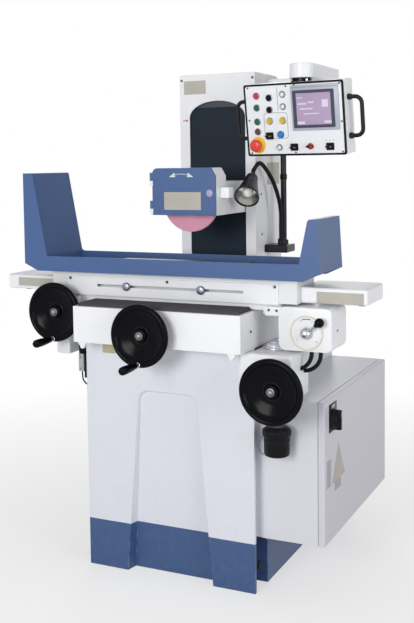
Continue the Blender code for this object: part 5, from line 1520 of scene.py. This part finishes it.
    def chain(self, top: Vector, end: Vector) -> None:
        """Small links in a hanging loop from under the cap to the foot of the cup.

        Args:
            top: Where it hangs from the cap.
            end: Where it is fixed to the cup.
        """
        path = resampled(curve([top, top + Vector((-0.007, -0.001, -0.010)),
                                (top + end) / 2 + Vector((-0.0205, 0.0, -0.008)),
                                end + Vector((-0.019, 0.0, -0.002)),
                                end + Vector((-0.010, 0.0, -0.010)), end]), 0.0052)
        lump = Lump()
        for i in range(1, len(path) - 1):
            d = (path[i + 1] - path[i - 1]).normalized()
            side = d.cross(Vector((0, 1, 0))).normalized()
            if i % 2:
                side = d.cross(side).normalized()
            loop = [path[i] + d * (0.0042 * math.cos(a)) + side * (0.0024 * math.sin(a))
                    for a in (math.tau * k / 14 for k in range(15))]
            lump.tube(loop, 0.0009, 6)
        fit(lump.done("cap_chain"), "base", DOG_STEEL)


@dataclass
class Lamp:
    """Conduit pole, ribbed gooseneck and conical lamp."""

    shade_radius: float = 0.0425
    pole: tuple[float, float] = (0.2007, 0.2775)
    sleeve: float = 0.0104
    stand_top: float = 1.0590
    glands: tuple[tuple[float, float], ...] = ((1.0595, 0.014), (1.30, 0.010), (1.592, 0.012))
    neck_bends: tuple[Point, ...] = ((0.197, 0.2275, 1.235), (0.185, 0.1975, 1.297),
                                     (0.166, 0.1445, 1.349))

    def build(self) -> None:
        """Dresses the pole and turns the neck, the shade, its reflector and its bulb."""
        paint(SHADE_BLACK, "lamp_stand")
        paint(WHITE, "support_beam")
        low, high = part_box("lamp_stand")
        lump = Lump()
        sleeve = self.sleeve
        for z, half in self.glands:
            lump.lathe([(0.0082, -half), (half + 0.0022, -half), (half + 0.004, -half + 0.003),
                        (half + 0.004, half - 0.003), (half + 0.0022, half), (0.0082, half)],
                       (*self.pole, min(z, high.z - half - 0.0005)), (0, 0, 1), 6, closed=True)
        fit(lump.done("conduit_glands"), "base", BLACK)
        foot, head = self.stand_top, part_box("support_beam")[0].z
        lump = Lump().lathe([(0.0078, foot), (sleeve, foot), (sleeve, head), (0.0078, head)],
                            (*self.pole, 0.0), (0, 0, 1), 40, closed=True)
        fit(lump.done("conduit_sleeve"), "base", SHADE_BLACK)
        lump = Lump().lathe([(0.0, 0.014), (0.007, 0.0135), (0.0095, 0.011), (0.0095, 0.002),
                             (0.006, 0.0), (0.0, 0.0)], (low.x + 0.070, low.y + 0.020, 1.044),
                            (0, -1, 0), 36, 12, 0.001)
        fit(lump.done("bracket_knob"), "base", BLACK)
        tilt = pivot("lamp_tilt")
        down = self.axis()
        self.neck(tilt, down)
        self.shade(tilt, down)

    def axis(self) -> Vector:
        """The way the lamp points, measured on the frame's own lamp.

        Returns:
            A unit vector.
        """
        points = [v.co for v in frame["nodes"]["lamp_head"].data.vertices]
        start = pivot("lamp_tilt")
        far = [p for p in points if (p - start).length > 0.115]
        middle = sum((Vector(p) for p in far), Vector()) / len(far)
        return (middle - start).normalized()

    def neck(self, tilt: Vector, down: Vector) -> None:
        """Ribbed metal hose along the frame's own gooseneck.

        Args:
            tilt: The tilt joint's point.
            down: The way the lamp points.
        """
        root = pivot("gooseneck_turn")
        points = [(root.x, root.y, root.z), (root.x, root.y, root.z + 0.06),
                  (root.x, root.y - 0.002, 1.18), *self.neck_bends, tilt - down * 0.034,
                  tilt - down * 0.0118]
        lump = Lump().tube(curve(points, 10), 0.0076, 20, 0.0011, 0.0042)
        fit(lump.done("ribbed_neck", 60.0), "gooseneck", RUBBER, "gooseneck")
        lump = Lump().lathe([(0.0, 0.0), (0.0115, 0.0), (0.0115, 0.018), (0.0095, 0.021),
                             (0.0, 0.021)], root, (0, 0, 1), 36)
        fit(lump.done("neck_ferrule"), "gooseneck", BLACK, slot="gooseneck")

    def shade(self, tilt: Vector, down: Vector) -> None:
        """Shade with its rolled rim, inner reflector and frosted bulb.

        Args:
            tilt: The tilt joint's point.
            down: The way the lamp points.
        """
        r = self.shade_radius
        ball = [(0.0108 * math.sin(math.radians(a)), -0.0108 * math.cos(math.radians(a)))
                for a in range(0, 140, 14)]
        lump = Lump().lathe(ball + [(0.0125, 0.0085), (0.0190, 0.0115), (0.0205, 0.0150),
                                    (0.0215, 0.0300), (0.0240, 0.0450), (0.0262, 0.0500),
                                    (0.0262, 0.0525), (0.0270, 0.0560), (r - 0.002, 0.1150),
                                    (r, 0.1165), (r, 0.1235), (r - 0.0015, 0.1248),
                                    (r - 0.0030, 0.1235), (r - 0.0040, 0.1165),
                                    (0.0235, 0.0640), (0.0, 0.0620)], tilt, down, 96)
        fit(lump.done("lamp_shade"), "lamp", SHADE_BLACK, "lamp_head")
        lump = Lump().lathe([(0.0, 0.0626), (0.0222, 0.0640), (0.0300, 0.0850),
                             (r - 0.0046, 0.1190), (r - 0.0058, 0.1190), (0.0285, 0.0860),
                             (0.0205, 0.0655), (0.0, 0.0640)], tilt, down, 72)
        fit(lump.done("lamp_reflector"), "lamp", REFLECTOR, slot="lamp_head")
        bulb = [(0.0, 0.0645), (0.0110, 0.0650), (0.0120, 0.0780)]
        bulb += [(0.0170 * math.cos(math.radians(a)), 0.0960 + 0.0170 * math.sin(math.radians(a)))
                 for a in range(-45, 91, 15)]
        fit(Lump().lathe(bulb, tilt, down, 40).done("lamp_bulb"), "lamp", BULB, slot="lamp_head")
        lump = Lump()
        for i in range(10):
            a = math.tau * i / 10
            side = down.orthogonal().normalized()
            up = down.cross(side)
            at = tilt + down * 0.020 + (side * math.cos(a) + up * math.sin(a)) * 0.0208
            lump.tube([at, at + down * 0.024], 0.0016, 8)
        fit(lump.done("lamp_fins"), "lamp", BLACK, slot="lamp_head")


@dataclass
class Pendant:
    """Control pendant: case, gasket, screen, buttons, selectors and its arm."""

    half_width: float = 0.1795
    half_height: float = 0.119
    depth: float = 0.075
    anchor: tuple[float, float] = (-0.092, -0.052)
    buttons: dict[str, tuple[float, float, Cap]] = field(default_factory=lambda: {
        "button_red": (-0.132, 0.081, Cap.RED), "button_black_top": (-0.085, 0.073, Cap.BLACK),
        "button_green_top": (-0.133, 0.042, Cap.GREEN),
        "button_black_middle": (-0.086, 0.034, Cap.BLACK),
        "button_green_low": (-0.134, -0.004, Cap.GREEN),
        "button_yellow_left": (-0.088, -0.003, Cap.YELLOW),
        "button_yellow_right": (-0.040, -0.003, Cap.YELLOW),
        "button_brown": (-0.135, -0.037, Cap.BROWN), "button_blue": (-0.051, -0.049, Cap.BLUE)})
    selectors: dict[str, tuple[float, float]] = field(default_factory=lambda: {
        "selector_left": (-0.092, -0.052), "selector_middle": (-0.004, -0.091),
        "selector_red": (0.055, -0.089), "selector_right": (0.124, -0.091)})
    pilots: tuple[tuple[float, float], ...] = ((-0.036, 0.082), (-0.037, 0.0425),
                                               (-0.059, -0.091))
    stop: tuple[float, float] = (-0.138, -0.082)

    def place(self) -> Matrix:
        """Where the panel's own right, depth and up lie in the frame.

        Returns:
            The panel's place, with Y into the case.
        """
        inward = Vector(JOINTS["button_red_push"]["axis"]).normalized()
        right = Vector((inward.y, -inward.x, 0)).normalized()
        up = right.cross(inward)
        u, v = self.anchor
        middle = pivot("selector_left_turn") - right * u - up * v
        return Matrix.Translation(middle) @ Matrix((right, inward, up)).transposed().to_4x4()

    def build(self) -> None:
        """Makes the case, everything on its face, and dresses the arm."""
        at = self.place()
        self.arm()
        self.case(at)
        self.display(at)
        self.print(at)
        for name in self.buttons:
            self.button(at, name)
        for name in self.selectors:
            self.selector(at, name)
        self.emergency(at)
        lump, ring = Lump(at), Lump(at)
        for u, v in self.pilots:
            lump.lathe([(0.0, 0.0062), (0.004, 0.0058), (0.0068, 0.0040), (0.0078, 0.0010),
                        (0.0078, -0.001), (0.0, -0.001)], (u, 0, v), (0, -1, 0), 32)
            ring.lathe([(0.0079, -0.0005), (0.0079, 0.0042), (0.0094, 0.0048), (0.0112, 0.0020),
                        (0.0114, -0.0005)], (u, 0, v), (0, -1, 0), 48, closed=True)
        fit(lump.done("pilot_lenses"), "pendant", LENS, slot="pendant_case")
        fit(ring.done("pilot_rings"), "pendant", DOG_STEEL, slot="pendant_case")

    def arm(self) -> None:
        """Arm over the pendant, with the two lock knobs under its end."""
        paint(WHITE, "pendant_arm")
        at = pivot("pendant_swivel")
        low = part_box("pendant_arm")[0]
        knob, cap = Lump(), Lump()
        for degrees in (-128, -52, 90):
            a = math.radians(degrees)
            foot = (at.x + 0.0295 * math.cos(a), at.y + 0.0295 * math.sin(a) - 0.001, low.z - 0.008)
            out = (math.cos(a), math.sin(a), 0.0)
            knob.lathe([(0.0, 0.0), (0.0060, 0.0), (0.0072, 0.0015), (0.0072, 0.0100),
                        (0.0058, 0.0118), (0.0, 0.0118)], foot, out, 48, 10, 0.0009)
            cap.lathe([(0.0, 0.0118), (0.0040, 0.0118), (0.0036, 0.0132), (0.0, 0.0136)],
                      foot, out, 28)
        fit(knob.done("swivel_lock_knobs"), "pendant", BLACK, slot="pendant_case")
        fit(cap.done("swivel_lock_caps"), "pendant", CHROME, slot="pendant_case")

    def case(self, at: Matrix) -> None:
        """Sheet case with its rounded corners, door gasket, neck and two bar handles.

        Args:
            at: The panel's own place in the frame.
        """
        w, h, d = self.half_width, self.half_height, self.depth
        lump = Lump(at).slab((-w, 0.0035, -h), (w, d, h), 0.005, 4)
        lump.sheet(round_box(w - 0.0065, h - 0.0065, 0.006), 0.0, 0.006)
        fit(lump.done("pendant_shell"), "pendant", WHITE, "pendant_case")
        lump = Lump(at).frame(round_box(w, h, 0.0075), round_box(w - 0.0062, h - 0.0062, 0.005),
                              -0.0005, 0.0045)
        fit(lump.done("pendant_gasket"), "pendant", RUBBER, slot="pendant_case")
        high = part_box("pendant_case")[1].z
        swivel = pivot("pendant_swivel")
        bottom = (at @ Vector((0, d / 2, h))).z - 0.010
        lump = Lump().lathe([(0.0, bottom), (0.0335, bottom), (0.0335, bottom + 0.012),
                             (0.0300, bottom + 0.014), (0.0300, high - 0.002),
                             (0.0320, high - 0.0003), (0.0, high - 0.0003)],
                            (swivel.x, swivel.y, 0), (0, 0, 1), 64)
        fit(lump.done("pendant_neck"), "pendant", SHADE_BLACK, slot="pendant_case")
        for side, name in ((-1, "left"), (1, "right")):
            self.handle(at, side, name)
        lump = Lump(at)
        for u, v in ((-w + 0.016, h - 0.011), (-0.022, h - 0.011), (0.009, h - 0.009),
                     (w - 0.013, h - 0.0105), (-w + 0.0145, 0.001), (w - 0.0105, -0.012),
                     (-w + 0.016, -h + 0.0105), (0.0, -h + 0.0105), (w - 0.013, -h + 0.0105)):
            lump.screw((u, 0.0, v), (0, -1, 0), 0.0031)
        fit(lump.done("pendant_screws"), "pendant", SCREW_BLACK, slot="pendant_case")

    def handle(self, at: Matrix, side: int, name: str) -> None:
        """A bar handle on two collars at one side of the case.

        Args:
            at: The panel's own place in the frame.
            side: -1 for left, 1 for right.
            name: left or right.
        """
        w, h = self.half_width, self.half_height * 0.52
        y, out, bend = self.depth * 0.45, self.half_width + 0.046, 0.022
        x = side * (w - 0.002)
        corner = [(x, y, h)]
        for i in range(7):
            a = math.radians(90 - 15 * i)
            corner.append((side * (out - bend + bend * math.cos(a)), y,
                           h - bend + bend * math.sin(a)))
        path = corner + [(px, py, -pz) for px, py, pz in reversed(corner)]
        lump = Lump(at).tube(path, 0.0068, 20)
        for z in (h, -h):
            lump.lathe([(0.0, 0.0), (0.0098, 0.0), (0.0098, 0.010), (0.0082, 0.012),
                        (0.0, 0.012)], (side * w, y, z), (side, 0, 0), 32)
        fit(lump.done(f"pendant_handle_{name}"), "pendant", HANDLE_BLACK, slot="pendant_case")

    def display(self, at: Matrix) -> None:
        """Screen bezel, dark frame, lit panel and the plain bars on it.

        Args:
            at: The panel's own place in the frame.
        """
        left, right, top, low = -0.005, 0.163, 0.109, -0.038
        cx, cz = (left + right) / 2, (top + low) / 2
        hx, hz = (right - left) / 2, (top - low) / 2
        lump = Lump(at).sheet(round_box(hx, hz, 0.004, 4, (cx, cz)), -0.0040, 0.001,
                              round_by=0.0016)
        fit(lump.done("screen_bezel"), "pendant", SILVER_GREY, slot="pendant_case")
        fx, fz, mx, mz = 0.07175, 0.05975, 0.07525, 0.03175
        lump = Lump(at).frame(round_box(fx + 0.001, fz + 0.001, 0.003, 3, (mx, mz)),
                              round_box(fx - 0.0105, fz - 0.0085, 0.001, 3, (mx, mz)),
                              -0.0062, -0.0030)
        lump = lump.slab((left + 0.004, -0.00412, top - 0.0078), (right - 0.004, -0.0036,
                                                                 top - 0.0068))
        fit(lump.done("screen_frame"), "pendant", FRAME_DARK, slot="pendant_case")
        lump = Lump(at).slab((mx - 0.0635, -0.0046, mz - 0.0515), (mx + 0.0635, -0.0030,
                                                                  mz + 0.0515), 0.0004, 1)
        fit(lump.done("screen_panel"), "pendant", GLOW, slot="pendant_case")
        lump = Lump(at)
        for u0, u1, v0, v1 in ((0.018, 0.050, 0.046, 0.0515), (0.055, 0.076, 0.050, 0.0555),
                               (0.026, 0.072, 0.030, 0.0345), (0.038, 0.094, 0.0145, 0.018),
                               (0.105, 0.126, 0.036, 0.060), (0.016, 0.042, -0.0170, -0.008),
                               (0.110, 0.136, -0.0150, -0.0075), (0.016, 0.0375, 0.066, 0.0695)):
            lump.slab((u0, -0.0050, v0), (u1, -0.0044, v1), 0.0002, 1)
        fit(lump.done("screen_bars"), "pendant", GLOW_BAR, slot="pendant_case")

    def print(self, at: Matrix) -> None:
        """The printed outline round one group of controls, and the dividing line.

        Args:
            at: The panel's own place in the frame.
        """
        lump = Lump(at)
        middle, half = (-0.0665, -0.019), (0.0435, 0.043)
        lump.frame(round_box(half[0], half[1], 0.010, 5, middle),
                   round_box(half[0] - 0.0012, half[1] - 0.0012, 0.009, 5, middle),
                   -0.0003, 0.0004)
        lump.slab((-0.0556, -0.0003, 0.031), (-0.0544, 0.0004, 0.106))
        for u in (0.112, 0.124, 0.136):
            lump.slab((u - 0.0022, -0.0003, -0.0722), (u + 0.0022, 0.0004, -0.0706))
        fit(lump.done("panel_lines"), "pendant", LINE_GREY, slot="pendant_case")

    def button(self, at: Matrix, name: str) -> None:
        """One push button's cap and its bezel.

        Args:
            at: The panel's own place in the frame.
            name: The button's node.
        """
        u, v, cap = self.buttons[name]
        finish = cap.value
        big = 1.25 if cap is Cap.BLUE else 1.0
        r = 0.0100
        lump = Lump(at).lathe([(0.0, 0.0072), (0.0055, 0.0074), (0.0078, 0.0078),
                               (r - 0.0012, 0.0079), (r, 0.0068), (r, 0.0048), (0.0068, 0.0047),
                               (0.0068, -0.0088), (0.0, -0.0088)], (u, 0, v), (0, -1, 0), 48)
        fit(lump.done(f"{name}_cap"), name, finish, name)
        out = r + 0.0022 * big
        lump = Lump(at).lathe([(r + 0.0004, -0.0004), (r + 0.0004, 0.0038), (r + 0.0010, 0.0046),
                               (out - 0.0006, 0.0042), (out, 0.0025), (out, -0.0004)],
                              (u, 0, v), (0, -1, 0), 48, closed=True)
        fit(lump.done(f"{name}_bezel"), "pendant", CHROME if big == 1.0 else SKY,
            slot="pendant_case")

    def selector(self, at: Matrix, name: str) -> None:
        """One selector: a round base, a raised lever and its pointer line.

        Args:
            at: The panel's own place in the frame.
            name: The selector's node.
        """
        u, v = self.selectors[name]
        r = 0.0104
        red = name == "selector_red"
        if not red:
            lump = Lump(at).frame(round_box(0.0135, 0.0118, 0.002, 3, (u, v)),
                                  round_box(0.0108, 0.0108, 0.0107, 3, (u, v)), -0.0030, 0.0003)
            fit(lump.done(f"{name}_collar"), "pendant", BLACK, slot="pendant_case")
        lump = Lump(at).lathe([(0.0, 0.0058), (r - 0.0014, 0.0058), (r, 0.0046), (r, 0.0006),
                               (0.0068, 0.0006), (0.0068, -0.0118), (0.0, -0.0118)],
                              (u, 0, v), (0, -1, 0), 48)
        fit(lump.done(f"{name}_base"), name, RED if red else BLACK, name)
        lump = Lump(at).slab((u - 0.0112, -0.0168, v - 0.0034), (u + 0.0112, -0.0050, v + 0.0034),
                             0.0016, 3)
        fit(lump.done(f"{name}_lever"), name, BLACK, slot=name)
        lump = Lump(at).slab((u + 0.0040, -0.01705, v - 0.0005), (u + 0.0105, -0.0165, v + 0.0005))
        fit(lump.done(f"{name}_pointer"), name, MARK_WHITE, slot=name)

    def emergency(self, at: Matrix) -> None:
        """Mushroom head over its yellow disc.

        Args:
            at: The panel's own place in the frame.
        """
        u, v = self.stop
        lump = Lump(at).lathe([(0.0, 0.0298), (0.0060, 0.0296), (0.0120, 0.0288),
                               (0.0170, 0.0268), (0.0200, 0.0236), (0.0208, 0.0200),
                               (0.0204, 0.0174), (0.0180, 0.0160), (0.0120, 0.0135),
                               (0.0120, 0.0082), (0.0068, 0.0078), (0.0068, -0.0068),
                               (0.0, -0.0068)], (u, 0, v), (0, -1, 0), 72)
        fit(lump.done("stop_mushroom"), "emergency_stop", STOP_RED, "emergency_stop")
        lump = Lump(at).lathe([(0.0138, -0.0004), (0.0138, 0.0070), (0.0165, 0.0070),
                               (0.0180, 0.0016), (0.0270, 0.0013), (0.0275, 0.0008),
                               (0.0275, -0.0004)], (u + 0.001, 0, v), (0, -1, 0), 72, closed=True)
        fit(lump.done("stop_disc"), "pendant", STOP_YELLOW, slot="pendant_case")


@dataclass
class Studio:
    """Pale floor, plain soft light and the camera."""

    camera_at: Point = (1.4286, -2.9849, 1.35)
    turn: float = 25.2
    down: float = 4.0
    roll: float = -0.72
    lens: float = 55.70
    shift: float = -0.129
    sky: float = 0.34
    key: float = 132.0
    side: float = 72.0
    floor_half: float = 14.0
    fade: tuple[float, float] = (0.5, 2.6)

    def build(self) -> None:
        """Makes floor, world, lamps and camera."""
        self.floor()
        self.world()
        self.lamp("key_light", (-0.3, -5.2, 1.9), 1.8, self.key)
        self.lamp("side_light", (4.6, -1.9, 1.7), 2.4, self.side)
        self.lamp("rear_light", (-2.2, 4.6, 3.0), 2.6, self.side * 0.7)
        self.camera()
        bpy.context.scene.view_settings.view_transform = "Standard"

    def world(self) -> None:
        """Even white surroundings, dimmer as a light than as a background."""
        world = bpy.data.worlds.new("studio")
        bpy.context.scene.world = world
        graph = Graph("studio", world)
        white = {"Color": (1, 1, 1, 1)}
        lit = graph.node("ShaderNodeBackground", {}, white | {"Strength": self.sky})
        plain = graph.node("ShaderNodeBackground", {}, white | {"Strength": 1.0})
        graph.surface(graph.node("ShaderNodeMixShader", {},
                                 {0: graph.plain_rays(), 1: lit, 2: plain}))

    def floor(self) -> None:
        """A wide pale floor that keeps the machine's shadow and fades to plain white."""
        lump, half = Lump(), self.floor_half
        corners = [lump.shape.verts.new((x, y, 0.0)) for x, y in
                   ((-half, -half), (half, -half), (half, half), (-half, half))]
        lump.shape.faces.new(corners)
        floor = lump.done("studio_floor")
        graph = Graph("studio_pale")
        tone = graph.mix(graph.noise(1.5), (0.93, 0.93, 0.93), (0.95, 0.95, 0.95))
        graph.set(Base_Color=tone, Roughness=0.9, Specular_IOR_Level=0.0)
        reach = graph.node("ShaderNodeVectorMath", {"operation": "LENGTH"}, {0: graph.place()}, 1)
        near, far = self.fade
        fade = graph.ramp(reach, near, far) * 0.45 + 0.55
        white = graph.node("ShaderNodeEmission", {}, {"Color": (1, 1, 1, 1), "Strength": 1.0})
        lit = Wire(graph, graph.shader.outputs[0])
        graph.surface(graph.node("ShaderNodeMixShader", {},
                                 {0: graph.plain_rays() * fade, 1: lit, 2: white}))
        floor.data.materials.append(graph.material)

    def lamp(self, name: str, at: Point, size: float, power: float) -> None:
        """A soft square lamp aimed at the machine's middle.

        Args:
            name: The lamp's name.
            at: Where it stands.
            size: Its side, in metres.
            power: Its power, in watts.
        """
        data = bpy.data.lights.new(name, "AREA")
        data.size = size
        data.energy = power
        item = bpy.data.objects.new(name, data)
        item.location = at
        aim = Vector((0.05, 0.0, 0.85)) - Vector(at)
        item.rotation_euler = aim.to_track_quat("-Z", "Y").to_euler()
        bpy.context.scene.collection.objects.link(item)

    def camera(self) -> None:
        """The camera, a little above the table's height, turned to the machine's right."""
        turn, down, roll = (math.radians(a) for a in (self.turn, self.down, self.roll))
        ahead = Vector((-math.sin(turn) * math.cos(down), math.cos(turn) * math.cos(down),
                        -math.sin(down)))
        level = Vector((math.cos(turn), math.sin(turn), 0))
        upright = level.cross(ahead)
        right = level * math.cos(roll) + upright * math.sin(roll)
        up = upright * math.cos(roll) - level * math.sin(roll)
        data = bpy.data.cameras.new("view")
        data.lens = self.lens
        data.sensor_width = 36.0
        data.shift_y = self.shift
        item = bpy.data.objects.new("view", data)
        item.matrix_world = (Matrix.Translation(self.camera_at)
                             @ Matrix((right, up, -ahead)).transposed().to_4x4())
        bpy.context.scene.collection.objects.link(item)
        bpy.context.scene.camera = item


def main() -> None:
    """Builds the studio and the machine, assembly by assembly."""
    assemblies: list[Any] = [
        Studio(), Base(), Column(), Head(), Table(),
        Handwheel("table_handwheel", grip="table_grip"),
        Handwheel("cross_handwheel", grip="cross_grip"),
        Handwheel("lift_handwheel"), LeverBox(), Cabinet(), Lamp(), Pendant()]
    for assembly in assemblies:
        LOG.info("building %s", type(assembly).__name__)
        assembly.build()


if __name__ == "__main__":
    main()
